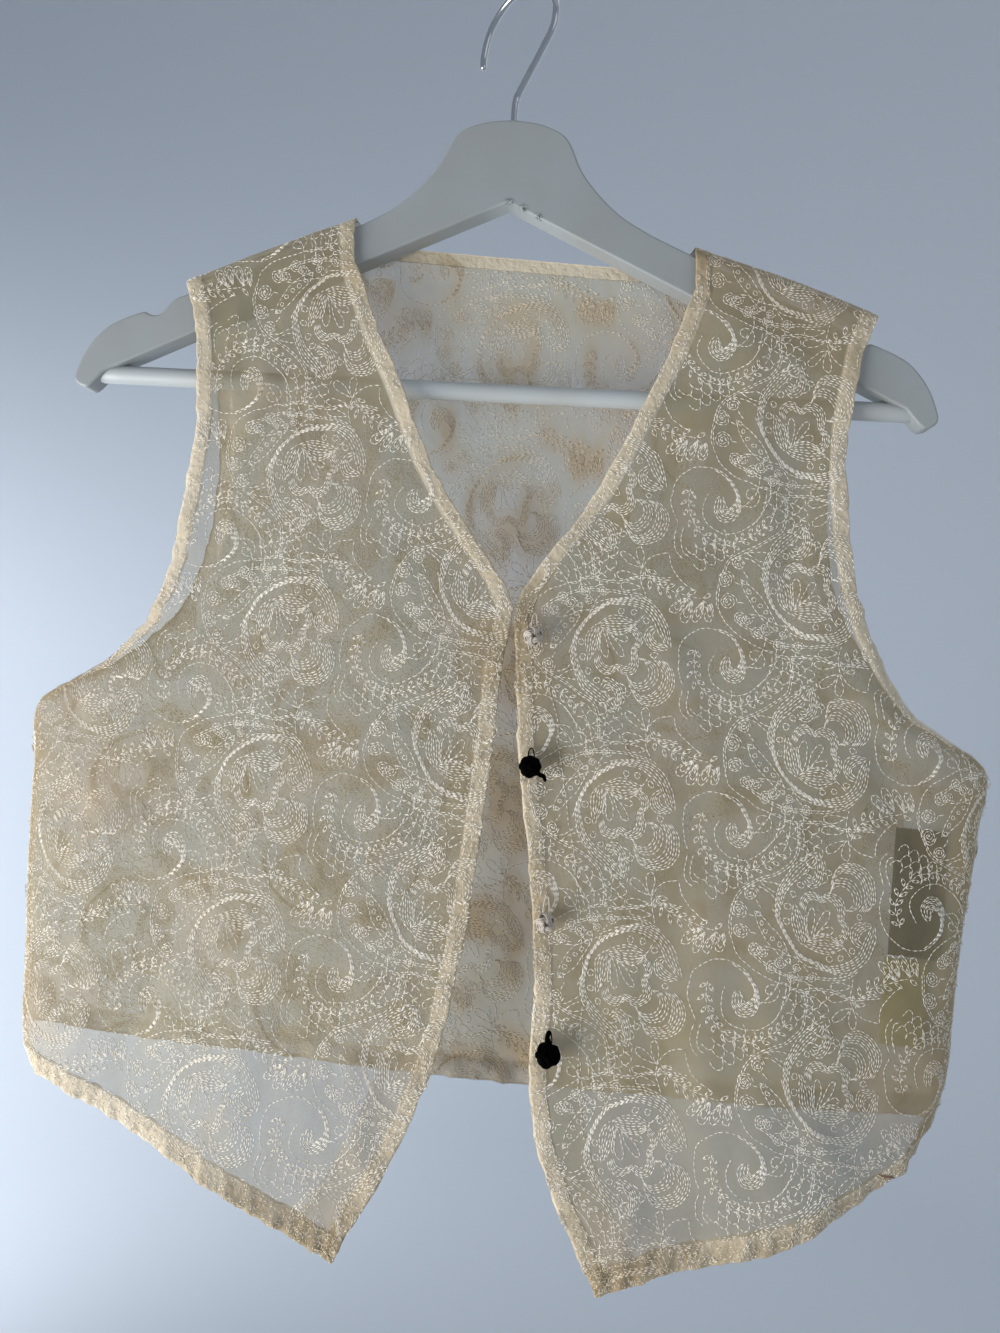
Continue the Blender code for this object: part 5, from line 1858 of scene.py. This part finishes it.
    def gathered(self, name: str, panel: Panel, level: Array, column: Array, close: float) -> Object:
        """Scatter short stitches over a band, where worked cloth is turned in and gathered.

        Formula: places are drawn evenly over the band's table of levels and columns; each stitch
        runs 1.1 to 2.3 mm along a direction that flows with a ripple and strays by 20 degrees.

        Args:
            name: Name of the piece.
            panel: The panel.
            level: Table of levels over the band.
            column: Table of columns over the band.
            close: Stitches in a square centimetre.

        Returns:
            The piece.
        """
        level, column = np.broadcast_arrays(level, column)
        spots = panel.at(level, column)
        size = np.array(level.shape) - 1.0
        down, over = (float(np.linalg.norm(np.diff(spots, axis=k), axis=2).mean()) for k in (0, 1))
        chance = np.random.default_rng(len(name) + level.shape[0])
        count = int(size.prod() * down * over * 1.0e4 * close)
        places = chance.uniform(0.0, 1.0, (2, count)).T * size
        middle = Panel.blend(spots, *places.T)
        flow = 3.0 * ripple(middle[:, 0], middle[:, 2], 0.013, 2.0) + chance.normal(0.0, 0.35, count)
        reach = 0.5 * chance.uniform(1.1 * MM, 2.3 * MM, count)
        step = np.stack([reach * np.cos(flow) / down, reach * np.sin(flow) / over], 1)
        ends = []
        for sense in (-1.0, 1.0):
            place = np.clip(places + sense * step, 0.0, size).T
            ends.append((Panel.blend(level, *place), Panel.blend(column, *place)))
        tone = 0.10 + 0.16 * ripple(middle[:, 0], middle[:, 2], 0.015, 0.4)
        aged = np.clip(0.45 * panel.blend(panel.aged, *ends[0]) + tone, 0.0, 1.0)
        start, end, normal = panel.at(*ends[0]), panel.at(*ends[1]), panel.normal_at(*ends[0])
        return self.grains(name, start, end, normal, chance.uniform(0.30, 0.48, count) * MM, aged)


# ------------------------------------------------------------------ sewn pieces
def places_by_distance(lines: Array, distance: Array, from_end: bool) -> Array:
    """Find places along lines of points at given distances from one of their ends.

    Args:
        lines: Rows of points.
        distance: Distances wanted on each row, in metres.
        from_end: Measure from the last point rather than the first.

    Returns:
        Places, counted in points, rows by distances.
    """
    lengths = run_lengths(lines[:, ::-1] if from_end else lines, 1)
    last = lines.shape[1] - 1.0
    count = np.arange(last + 1.0)
    found = np.array([np.interp(want, have, count) for want, have in zip(distance, lengths)])
    return last - found if from_end else found


def levels_by_distance(panel: Panel, column: Array, distance: Array, from_foot: bool) -> Array:
    """Levels at distances from the hem or the shoulder in whole columns, distances by columns."""
    lines = panel.grid[:, column].swapaxes(0, 1)
    return places_by_distance(lines, np.tile(distance, (len(column), 1)), from_foot).T


@dataclass(frozen=True)
class Strip:
    """A strip of cloth that follows one edge of a panel, inside it."""

    panel: Panel
    material: Material
    inset: float = 0.75 * MM
    wall: float = 0.30 * MM

    def shell(self, name: str, level: Array, column: Array) -> Object:
        """Close the strip between two insets of the panel.

        Formula: a fine pucker of a sixth of a millimetre is added to its depth.

        Args:
            name: Name of the piece.
            level: Levels of its grid.
            column: Columns of its grid.

        Returns:
            The piece.
        """
        level, column = np.broadcast_arrays(level, column)
        outer, turn = self.panel.at(level, column, self.inset), self.panel.normal_at(level, column)
        pucker = 0.16 * MM * ripple(outer[..., 0], outer[..., 2], 0.007, 6.1)
        outer = outer - turn * (pucker + 0.16 * MM)[..., None]
        aged = np.clip(self.panel.blend(self.panel.aged, level, column), 0.0, 1.0)
        values = {"aged": aged, "dense": np.zeros(level.shape), "band": np.ones(level.shape)}
        return sheet_shell(name, outer, outer - turn * self.wall, self.material, values)

    def side_table(
        self, first: int, last: int, width: Array | float, from_last: bool, steps: int = 9
    ) -> tuple[Array, Array]:
        """Lay a strip down a side edge.

        Args:
            first: First level.
            last: Last level.
            width: Its width at each of those levels, in metres.
            from_last: Follow the last column's edge rather than the first.
            steps: Columns of its grid.

        Returns:
            Levels and columns of its grid.
        """
        level = np.arange(first, last + 1)
        distance = np.broadcast_to(width, len(level))[:, None] * np.linspace(0.0, 1.0, steps)
        column = places_by_distance(self.panel.grid[level], distance, from_last)
        return level[:, None].astype(float), column

    def hem_table(
        self, width: float, skip: int, skip_last: int, from_foot: bool = True
    ) -> tuple[Array, Array]:
        """Lay a strip along the hem or the shoulder seam.

        Args:
            width: Its width in metres.
            skip: Columns left free at the first end.
            skip_last: Columns left free at the last end.
            from_foot: Follow the hem rather than the shoulder.

        Returns:
            Levels and columns of its grid.
        """
        column = np.arange(skip, self.panel.grid.shape[1] - skip_last)
        level = levels_by_distance(self.panel, column, np.linspace(0.0, width, 10), from_foot)
        return level, column[None].astype(float)


@dataclass(frozen=True)
class FlatCut:
    """Flat size of a panel's cut, in millimetres, and its area in square centimetres."""

    wide: float
    long: float
    area: float

    def declare(self, obj: Object, pieces: list[Object]) -> None:
        """Take the piece and the pieces sewn to it, and do nothing with them."""


def area_of(obj: Object) -> float:
    """Half the surface of a closed shell, in square centimetres."""
    areas = np.empty(len(obj.data.polygons))
    obj.data.polygons.foreach_get("area", areas)
    return 0.5e4 * float(areas.sum())


@dataclass
class Waistcoat:
    """The embroidered waistcoat: three panels, their facings and their stitches."""

    palette: Palette
    stitcher: Stitcher

    CUTS: ClassVar[dict[str, FlatCut]] = {
        "right_front": FlatCut(245.0, 515.0, 828.0),
        "left_front": FlatCut(235.0, 510.0, 787.0),
        "back": FlatCut(500.0, 430.0, 1666.0),
    }
    REPEATS: ClassVar[dict[str, Repeat]] = {
        "right_front": Repeat(-91.0, -325.0, 0.09, -0.10),
        "left_front": Repeat(70.0, -325.0, -0.092, 0.0),
        "back": Repeat(12.0, -330.0, 0.0, 0.0),
    }
    MEND_MM: ClassVar[Rows] = ((203.4, -558.4), (206.2, -559.6), (209, -559.9), (211.6, -561))
    TOP_STITCH: ClassVar[float] = 1.0 * MM  # from the inner edge of a band to its stitching

    @staticmethod
    def panels() -> dict[str, Panel]:
        """Work out the three panels."""
        right = FrontForm(Side.RIGHT, RIGHT_FRONT_ROWS, wave_seed=0.7).build()
        left = FrontForm(Side.LEFT, LEFT_FRONT_ROWS, wave_seed=2.9).build()
        return {panel.name: panel for panel in (right, left, BackForm().build())}

    def build(self) -> dict[str, Panel]:
        """Make every cloth piece and its stitches.

        Returns:
            The panels by name.
        """
        panels = self.panels()
        for name, panel in panels.items():
            whole = name == "back"
            stitches = self.stitcher.embroider(panel, self.REPEATS[name], 0.60 if whole else 0.12)
            inner = panel.grid - panel.turn * CLOTH_WALL
            values = {"aged": panel.aged, "dense": panel.dense, "band": panel.band}
            cloth = self.palette.back if whole else self.palette.organza
            shell = sheet_shell(name, panel.grid, inner, cloth, values)
            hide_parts(name)
            sewn = self.back_pieces(panel) if whole else self.front_pieces(panel)
            for piece in [shell, *sewn, *stitches]:
                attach(piece, "root")
            self.CUTS[name].declare(shell, [*sewn, *stitches])
            count = 1 + len(sewn) + len(stitches)
            LOG.info("%s: %d pieces, %.0f cm2 of cloth", name, count, area_of(shell))
        return panels

    def front_pieces(self, panel: Panel) -> list[Object]:
        """Make a front's band, facings, seam allowances and rows of stitching.

        Args:
            panel: The front.

        Returns:
            The pieces.
        """
        side = panel.name.split("_")[0]
        table = np.array(RIGHT_FRONT_ROWS if side == "right" else LEFT_FRONT_ROWS)
        last = len(panel.grid) - 1
        edge_z = panel.grid[:, 0, 2] / MM
        facing = np.interp(-edge_z, -table[:, 1], table[:, 7]) * MM
        narrow = np.minimum(facing, EDGE_BAND)
        neck_foot = int(np.argmax(edge_z < NECK_FOOT_MM))
        under = int(np.argmax(panel.grid[:, -1, 2] < UNDERARM))
        bands = Strip(panel, self.palette.band)
        sheer = Strip(panel, self.palette.edge, inset=1.45 * MM)
        pieces = []
        for strip, name, places in (
            (bands, "edge_band", bands.side_table(0, last, narrow, False)),
            (sheer, "edge_facing_cloth", sheer.side_table(neck_foot, last, facing[neck_foot:], False, 12)),
            (bands, "armhole_band_front", bands.side_table(0, under, ARMHOLE_BAND, True)),
            (bands, "hem_band", bands.hem_table(HEM_BAND, 2, 1)),
            (sheer, "shoulder_allowance", sheer.hem_table(SHOULDER_ALLOWANCE, 8, 8, False)),
            (sheer, "side_allowance", sheer.side_table(under + 2, last, SIDE_ALLOWANCE, True)),
        ):
            pieces.append(strip.shell(f"{side}_{name}", *places))
        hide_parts(f"{side}_edge_facing")
        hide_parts(f"{side}_armhole_facing_front")
        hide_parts(f"{side}_hem_facing")
        for name, close, places in (
            ("hem", 26.0, bands.hem_table(HEM_BAND, 2, 1)),
            ("opening", 22.0, bands.side_table(neck_foot, last, EDGE_BAND, False)),
            ("side", 30.0, bands.side_table(under + 1, last, SIDE_GATHERS, True)),
        ):
            pieces.append(self.stitcher.gathered(f"{side}_{name}_gathers", panel, *places, close))
        arm_line = np.full(last + 1, ARMHOLE_BAND - 0.9 * MM)
        for name, distance, from_last, first, end in (
            ("neck", narrow - 0.8 * MM, False, 0, last),
            ("armhole", arm_line, True, 0, under),
            ("facing", facing - 1.2 * MM, False, neck_foot + 8, last),
        ):
            level = np.arange(first, end + 1)
            column = places_by_distance(panel.grid[level], distance[level][:, None], from_last)[:, 0]
            name = f"{side}_{name}_stitching"
            pieces.append(self.stitcher.seam_line(name, panel, level.astype(float), column))
        pieces.append(self.hem_line(f"{side}_hem_stitching", panel))
        return pieces + (self.mend(panel) if side == "left" else [])

    def mend(self, panel: Panel) -> list[Object]:
        """Draw a small tear together with dark thread, just over the cloth.

        Args:
            panel: The left front.

        Returns:
            The long stitch and two short ones across it.
        """
        spots = []
        for x, z in np.array(self.MEND_MM) * MM:
            far = (panel.grid[..., 0] - x) ** 2 + (panel.grid[..., 2] - z) ** 2
            near = np.unravel_index(int(np.argmin(far)), far.shape)
            spots.append((x, panel.grid[near][1] - 0.25 * MM, z))
        line = smooth_path(spots, 4)
        across = np.array([(-0.4, 0, -1.1), (0, -0.15, 0), (0.4, 0, 1)]) * MM
        return [
            self.knotted("left_mend_long", line, 0.30 * MM),
            self.knotted("left_mend_short_1", line[4] + across, 0.22 * MM),
            self.knotted("left_mend_short_2", line[9] + across, 0.22 * MM),
        ]

    def knotted(self, name: str, path: Array, thick: float) -> Object:
        """One mending stitch."""
        piece = tube(name, path, np.full(len(path), thick), 6, self.palette.mend)
        point_values(piece, "aged", np.zeros(len(piece.data.vertices)))
        return piece

    def hem_line(self, name: str, panel: Panel) -> Object:
        """Stitch along the top of a hem."""
        column = np.arange(1, panel.grid.shape[1] - 1)
        distance = np.array([HEM_BAND - self.TOP_STITCH])
        level = levels_by_distance(panel, column, distance, True)[0]
        return self.stitcher.seam_line(name, panel, level, column.astype(float))

    def back_pieces(self, panel: Panel) -> list[Object]:
        """Make the back's neck strip, armhole and hem bands and rows of stitching.

        Args:
            panel: The back.

        Returns:
            The pieces.
        """
        bands, sheer = Strip(panel, self.palette.band), Strip(panel, self.palette.edge)
        under = int(np.argmax(panel.grid[:, 0, 2] < UNDERARM))
        x = panel.grid[0, :, 0]
        first = int(np.argmax(x > NECK_LEFT + 0.75 * NECK_TURN))
        after = int(np.argmax(x[::-1] < NECK_RIGHT - 0.75 * NECK_TURN))
        pieces = []
        for strip, name, node, places in (
            (sheer, "right_armhole_band_back", "right_armhole_facing_back",
             sheer.side_table(0, under, ARMHOLE_BAND, False)),
            (sheer, "left_armhole_band_back", "left_armhole_facing_back",
             sheer.side_table(0, under, ARMHOLE_BAND, True)),
            (sheer, "back_hem_band", "back_hem_facing", sheer.hem_table(HEM_BAND, 1, 1)),
            (bands, "back_neck_band", "back_neck_facing",
             bands.hem_table(NECK_STRIP, first, after, False)),
        ):
            piece = strip.shell(name, *places)
            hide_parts(node)
            pieces.append(piece)
        pieces.append(self.hem_line("back_hem_stitching", panel))
        column = np.arange(first, len(x) - after)
        level = levels_by_distance(panel, column, np.array([NECK_STRIP - 1.0 * MM]), False)[0]
        line = self.stitcher.seam_line("back_neck_stitching", panel, level, column.astype(float))
        return [*pieces, line]


# ------------------------------------------------------------------ buttons and labels
@dataclass(frozen=True)
class KnotButton:
    """A button knotted from cord, on a loop of thread."""

    number: int
    cord: float  # radius of the cord over the radius of the knot
    passes: int
    dark: bool
    tail_lean: float | None  # direction of the cord's end, in degrees, seen from the front
    leads: int = 3
    bights: int = 4

    def build(self, palette: Palette) -> list[Object]:
        """Weave the knot where its solid is.

        Formula: the cord goes round the ball once for each lead while it swings from pole to pole
        once for each bight, above the cord it crosses and then below the next; further passes lie
        beside it.

        Args:
            palette: The finishes.

        Returns:
            The pieces of the button.
        """
        low, high = (np.array(corner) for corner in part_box(f"button_{self.number}"))
        radius = 0.5 * min(high[0] - low[0], high[2] - low[2])
        centre = 0.5 * (low + high)
        centre[1] = low[1] + radius * 0.98
        material = palette.black_cord if self.dark else palette.cream_cord
        way = np.linspace(0.0, 2.0 * math.pi * self.leads, 240, endpoint=False)
        swing, turn = self.bights * way / self.leads, way + 0.5
        over = radius * (1.0 - 0.98 * self.cord) * (0.93 + 0.07 * np.sin(2.0 * swing))
        thick = np.full(len(way), radius * self.cord)
        pieces = []
        for strand in range(self.passes):
            tall = 1.12 * np.cos(swing) + (strand - 0.5 * (self.passes - 1)) * 3.2 * self.cord
            flat = np.cos(tall)
            path = np.stack([flat * np.cos(turn), -np.sin(tall), flat * np.sin(turn)], 1)
            path = centre + path * over[:, None]
            name, around = f"button_{self.number}_knot_{strand + 1}", 8 if self.dark else 6
            pieces.append(tube(name, path, thick, around, material, closed=True))
        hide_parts(f"button_{self.number}")
        core = self.core(centre, radius * 0.84, material)
        # The core takes its cord's darkest colour all over: painted shade in the gaps between the strands.
        point_values(core, "aged", np.ones(len(core.data.vertices)))
        corded = [*pieces, *self.shank(centre, radius, material)]
        for piece in corded:
            place = np.empty(3 * len(piece.data.vertices), np.float32)
            piece.data.vertices.foreach_get("co", place)
            point_values(piece, "aged", 0.06 + 0.06 * ripple(place[::3], place[2::3], 0.004, 1.0))
        for piece in [*corded, core]:
            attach(piece, "root")
        return [*corded, core]

    def core(self, centre: Array, radius: float, material: Material) -> Object:
        """Ball inside the knot that closes its gaps, painted dark as the shade between the strands."""
        polar = np.linspace(-0.5 * math.pi, 0.5 * math.pi, 12)[1:-1]
        path = centre + np.stack([0.0 * polar, radius * np.sin(polar), 0.0 * polar], 1)
        return tube(f"button_{self.number}_core", path, radius * np.cos(polar), 16, material)

    def shank(self, centre: Array, radius: float, material: Material) -> list[Object]:
        """Make the loop of thread behind the knot, its stem and the cord's loose end.

        Args:
            centre: Middle of the knot.
            radius: Its radius.
            material: Its material.

        Returns:
            The pieces.
        """
        back = centre + (0.0, radius + 1.5 * MM, 0.0)
        top = radius / MM + (2.0 if self.dark else 5.2)
        side = 0.6 * radius / MM
        loop = (
            (-0.7, 0.3, -1.0),
            (-1.5, -0.6, side),
            (-0.9, -1.4, top),
            (0.7, -1.4, top + (0.1 if self.dark else 0.26)),
            (1.5, -0.6, side),
            (0.6, 0.3, -1.0),
        )
        path = smooth_path(back + np.array(loop) * MM, 7)
        stem = np.linspace(centre + (0.0, 0.6 * radius, 0.0), back + (0.0, 0.7 * MM, 0.0), 5)
        name = f"button_{self.number}"
        pieces = [
            tube(f"{name}_shank", path, np.full(len(path), 0.36 * MM), 6, material),
            tube(f"{name}_stem", stem, np.full(5, 1.1 * MM), 8, material),
        ]
        if self.tail_lean is not None:
            (x, z), lift = heading(self.tail_lean), np.array([0.0, -0.1 * radius, 0.0])
            axis, beside = np.array([x, 0.0, z]), np.array([-z, 0.0, x]) * 0.5 * MM
            outer = [centre + axis * (radius + far * MM) for far in (2.0, 3.8)]
            inner = [centre + axis * radius * 0.5, centre + axis * radius * 1.05 + lift]
            tail = smooth_path([*inner, outer[0] + beside, outer[1] - beside], 6)
            taper = np.linspace(0.9, 0.5, len(tail)) * radius * self.cord
            pieces.append(tube(f"{name}_tail", tail, taper, 8, material))
        return pieces


class Buttons:
    """The four buttons down the left front's edge, two cream and two black."""

    KNOTS = (
        KnotButton(1, 0.10, 3, False, None),
        KnotButton(2, 0.27, 1, True, -35.0),
        KnotButton(3, 0.10, 3, False, None),
        KnotButton(4, 0.27, 1, True, 92.0),
    )

    def build(self, palette: Palette) -> None:
        """Make all four."""
        for knot in self.KNOTS:
            pieces = knot.build(palette)
            LOG.info("button_%d: %d pieces", knot.number, len(pieces))


@dataclass(frozen=True)
class Label:
    """A blank woven label that hangs inside the side seam."""

    node: str
    olive: bool
    guide: int = -11  # column of the back whose heights give the label's levels

    def build(self, panel: Panel, palette: Palette) -> None:
        """Lay the label along the inside of the back.

        Formula: the box of its solid gives its width and height; its depth follows the back's
        level at each height, less two millimetres, with a slight curl.

        Args:
            panel: The back.
            palette: The finishes.
        """
        low, high = (np.array(corner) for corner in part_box(self.node))
        across, heights = np.linspace(low[0], high[0], 18), np.linspace(high[2], low[2], 36)
        beside = panel.grid[:, self.guide, 2]
        levels = np.interp(-heights, -beside, np.arange(len(beside)))
        columns = np.arange(panel.grid.shape[1], dtype=float)
        lines = panel.blend(panel.grid, *np.broadcast_arrays(levels[:, None], columns))
        depth = np.array([np.interp(across, line[:, 0], line[:, 1]) for line in lines])
        x, z = np.meshgrid(across, heights)
        curl = 0.6 * MM * ripple(x, z, 0.05, 3.3) + 0.9 * MM
        outer = np.stack([x, depth - 1.0 * MM - curl, z], 2)
        material = palette.label_olive if self.olive else palette.label_dark
        obj = sheet_shell(f"{self.node}_cloth", outer, outer - (0.0, 0.35 * MM, 0.0), material, {})
        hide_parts(self.node)
        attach(obj, "root")


# ------------------------------------------------------------------ hanger
HANGER_OUTLINE_MM: Places = (
    # x z of the upper edge, from the middle out
    (0, -66.4), (11, -67.6), (18, -69.4), (23.5, -71.8), (27.6, -75.2), (30.6, -80.2), (34.6, -88.8),
    (39, -95.2), (46.5, -103.6), (56, -111.8), (66, -117.8), (76, -122.8), (100, -133.4), (130, -146.8),
    (155, -158), (161, -160.4), (165.2, -162.8), (168.6, -166.8), (171.2, -169.6), (174.2, -170.6),
    (177.2, -169.9), (179.8, -169), (185, -170.8), (192, -173.8), (198.6, -177.8), (204.8, -184.2),
    (209.4, -191.4), (212.4, -198.6), (213.6, -203.2), (212.6, -206.2), (209, -208.2), (205.4, -207.6),
    (198, -199.6),
)
HANGER_UNDERSIDE_MM: Places = ((198, -199.6), (151.7, -177.6), (0, -107.4))
HOOK_MM: Places = (
    # out up
    (0, -83), (0, -58), (0.5, -54.2), (2.2, -50.6), (11.4, -39.4), (17.8, -31.6), (21.4, -26.8),
    (23.3, -21.6), (22.9, -14.2), (19, -5.6), (11.6, 0), (2.4, 1.65), (-7.2, 0.5), (-15.8, -4.4),
    (-22, -12.2), (-24.8, -21.8), (-24.8, -28),
)


@dataclass(frozen=True)
class Hanger:
    """Painted wooden hanger with a round bar and a wire hook."""

    thick: float = 13.0 * MM
    rounding: float = 1.3 * MM
    bar_radius: float = 4.6 * MM
    bar_half: float = 201.0 * MM
    bar_height: float = -200.0 * MM
    wire: float = 1.65 * MM
    swivel: float = 40.0  # degrees

    def build(self, palette: Palette) -> None:
        """Make the wood, the bar and the hook."""
        for piece, node, slot in (
            (self.wood(palette.wood), "hanger_wood", "painted_wood"),
            (self.bar(palette.bar), "hanger_bar", "painted_wood"),
            (self.hook(palette.chrome), "hanger_hook", "wire"),
        ):
            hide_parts(node)
            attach(piece, "root")
            LOG.info("%s: %d faces", node, len(piece.data.polygons))

    @staticmethod
    def outline() -> Array:
        """Outline of the wood: a smooth top, a straight underside and their mirror image."""
        under = [np.linspace(*pair, 12, endpoint=False) for pair in itertools.pairwise(HANGER_UNDERSIDE_MM)]
        side = np.concatenate([smooth_path(HANGER_OUTLINE_MM, 5)[:-1], *under, HANGER_UNDERSIDE_MM[-1:]])
        return np.concatenate([side, side[-2:0:-1] * (-1.0, 1.0)]) * MM

    def wood(self, material: Material) -> Object:
        """Extrude the outline with rounded edges.

        Args:
            material: Its paint.

        Returns:
            The wood.
        """
        outline = self.outline()
        data = bpy.data.curves.new("hanger_wood_paint", "CURVE")
        data.dimensions = "2D"
        data.fill_mode = "BOTH"
        data.extrude = 0.5 * self.thick - self.rounding
        data.bevel_depth = self.rounding
        data.bevel_resolution = 3
        data.offset = -self.rounding
        spline = data.splines.new("POLY")
        spline.points.add(len(outline) - 1)
        flat = np.pad(outline, ((0, 0), (0, 2)))
        flat[:, 3] = 1.0
        spline.points.foreach_set("co", flat.astype(np.float32).ravel())
        spline.use_cyclic_u = True
        curve = link_new("hanger_wood_outline", data)
        bpy.context.view_layer.update()
        graph = bpy.context.evaluated_depsgraph_get()
        mesh = bpy.data.meshes.new_from_object(curve.evaluated_get(graph))
        bpy.data.objects.remove(curve, do_unlink=True)
        mesh.transform(Matrix.Rotation(math.radians(90.0), 4, "X"))
        merged(mesh)
        mesh.materials.clear()
        mesh.materials.append(material)
        mesh.shade_smooth()
        obj = link_new("hanger_wood_paint", mesh)
        weighted = obj.modifiers.new("even_shading", "WEIGHTED_NORMAL")
        weighted.mode = "FACE_AREA"
        weighted.weight = 90
        return obj

    def bar(self, material: Material) -> Object:
        """Run the round bar between the arms."""
        ends = [(way * self.bar_half, 0.0, self.bar_height) for way in (-1.0, 1.0)]
        path = np.linspace(*ends, 40)
        return tube("hanger_bar_paint", path, np.full(40, self.bar_radius), 32, material)

    def hook(self, material: Material) -> Object:
        """Bend the wire in its own plane, turned on its shaft."""
        (out, up), (cos, sin) = smooth_path(HOOK_MM, 8).T * MM, heading(self.swivel)
        path = np.stack([out * cos, -out * sin, up], 1)
        return tube("hanger_hook_wire", path, np.full(len(path), self.wire), 14, material)


def merged(mesh: Mesh) -> None:
    """Merge the points of a mesh that lie in one place, and face it outward."""
    shell = bmesh.new()
    shell.from_mesh(mesh)
    bmesh.ops.remove_doubles(shell, verts=shell.verts, dist=0.00002)
    bmesh.ops.recalc_face_normals(shell, faces=shell.faces)
    shell.to_mesh(mesh)
    shell.free()


# ------------------------------------------------------------------ studio
@dataclass(frozen=True)
class Lamp:
    """One soft square light: its place, aim, side, watts, colour and spread in degrees."""

    name: str
    place: Triple
    aim: Triple
    size: float
    power: float
    colour: Triple
    spread: float = 180.0

    def hang(self) -> None:
        """Hang the light."""
        data = bpy.data.lights.new(self.name, "AREA")
        data.size = self.size
        data.energy = self.power
        data.color = self.colour
        data.spread = math.radians(self.spread)
        lamp = link_new(self.name, data)
        lamp.location = self.place
        ahead = Vector(self.aim) - Vector(self.place)
        lamp.rotation_euler = ahead.to_track_quat("-Z", "Y").to_euler()


@dataclass(frozen=True)
class Studio:
    """Pale bowl of a backdrop, soft lights and the camera."""

    radius: float = 2.4
    floor: float = -1.25
    camera_place: Triple = (0.0434, -0.4972, -0.3364)
    roll: float = 3.82  # degrees, as the next two
    yaw: float = 3.71
    pitch: float = 0.08
    lens: float = 27.047

    MIDDLE: ClassVar[Triple] = (0.0, 0.0, -0.35)
    CORNER: ClassVar[Triple] = (-1.3, 2.4, -1.1)
    LAMPS: ClassVar[tuple[Lamp, ...]] = (
        Lamp("window", (-0.86, -0.50, -0.82), MIDDLE, 0.9, 8.6, (1.0, 0.99, 0.985), 120.0),
        Lamp("fill", (1.3, -1.3, 0.1), MIDDLE, 1.5, 4.0, (1.0, 0.98, 0.95)),
        Lamp("behind", (0.2, 1.2, 0.6), MIDDLE, 1.4, 5.0, (0.95, 0.97, 1.0)),
        Lamp("wall", (-1.3, 0.72, -0.5), CORNER, 1.3, 13.5, (0.93, 0.965, 1.0), 155.0),
    )

    def build(self, palette: Palette) -> None:
        """Set up the backdrop, lights, world and camera."""
        self.backdrop(palette.backdrop)
        for lamp in self.LAMPS:
            lamp.hang()
        self.world()
        self.camera()

    def backdrop(self, material: Material) -> Object:
        """Revolve the floor and the wall that rises from it.

        Formula: a flat floor to 60 % of the radius, then a quarter ellipse up, then a straight
        wall.

        Args:
            material: Its paint.

        Returns:
            The backdrop.
        """
        bend = np.linspace(0.0, 0.5 * math.pi, 14)[1:]
        reach = np.concatenate([[0.3, 0.6], 0.6 + 0.4 * np.sin(bend), [1.0, 1.0]]) * self.radius
        rise = np.concatenate([[0.0, 0.0], 0.9 * (1.0 - np.cos(bend)), [1.9, 3.4]]) + self.floor
        angle = np.linspace(0.0, 2.0 * math.pi, 64, endpoint=False)
        x, y = np.cos(angle) * reach[:, None], np.sin(angle) * reach[:, None]
        rings = np.stack([x, y, np.broadcast_to(rise[:, None], x.shape)], 2).reshape(-1, 3)
        verts = np.concatenate([[(0.0, 0.0, self.floor)], rings])
        index = 1 + np.arange(len(rings)).reshape(-1, 64)
        a = np.concatenate([np.zeros((1, 64), int), index[:-1]])
        b = np.roll(index, -1, 1)
        halves = [(a, index, b), (a[1:], b[1:], np.roll(a, -1, 1)[1:])]
        faces = np.concatenate([np.stack(half, 2).reshape(-1, 3) for half in halves])
        return make_mesh("backdrop", verts, faces[:, ::-1], material)

    @staticmethod
    def world() -> None:
        """Even pale light from all round."""
        world = bpy.data.worlds.new("soft_room")
        world.use_nodes = True
        background = world.node_tree.nodes["Background"]
        background.inputs["Color"].default_value = (0.80, 0.86, 0.95, 1.0)
        background.inputs["Strength"].default_value = 0.50
        bpy.context.scene.world = world
        bpy.context.scene.view_settings.view_transform = "Standard"

    def camera(self) -> None:
        """Place the camera before the waistcoat, a little to its right and rolled."""
        data = bpy.data.cameras.new("camera")
        data.lens = self.lens
        data.sensor_width = 36.0
        data.sensor_fit = "AUTO"
        data.clip_start = 0.01
        yaw, pitch, roll = (math.radians(angle) for angle in (self.yaw, self.pitch, self.roll))
        level = Vector((math.cos(yaw), math.sin(yaw), 0.0))
        flat = math.cos(pitch)
        ahead = Vector((-math.sin(yaw) * flat, math.cos(yaw) * flat, math.sin(pitch)))
        upright = level.cross(ahead)
        right = level * math.cos(roll) + upright * math.sin(roll)
        up = upright * math.cos(roll) - level * math.sin(roll)
        turn = Matrix((right, up, -ahead)).transposed().to_4x4()
        camera = link_new("camera", data)
        camera.matrix_world = Matrix.Translation(self.camera_place) @ turn
        bpy.context.scene.camera = camera


def main() -> None:
    """Build the looks of the waistcoat over its solids."""
    logging.basicConfig(level=logging.INFO, format="%(name)s: %(message)s")
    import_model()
    palette = Palette()
    stitcher = Stitcher(Chart.pattern(), palette.thread)
    LOG.info("chart: %d stitches in the half repeat", len(stitcher.starts))
    panels = Waistcoat(palette, stitcher).build()
    Buttons().build(palette)
    Label("label_upper", False).build(panels["back"], palette)
    Label("label_lower", True).build(panels["back"], palette)
    Hanger().build(palette)
    Studio().build(palette)


if __name__ == "__main__":
    main()
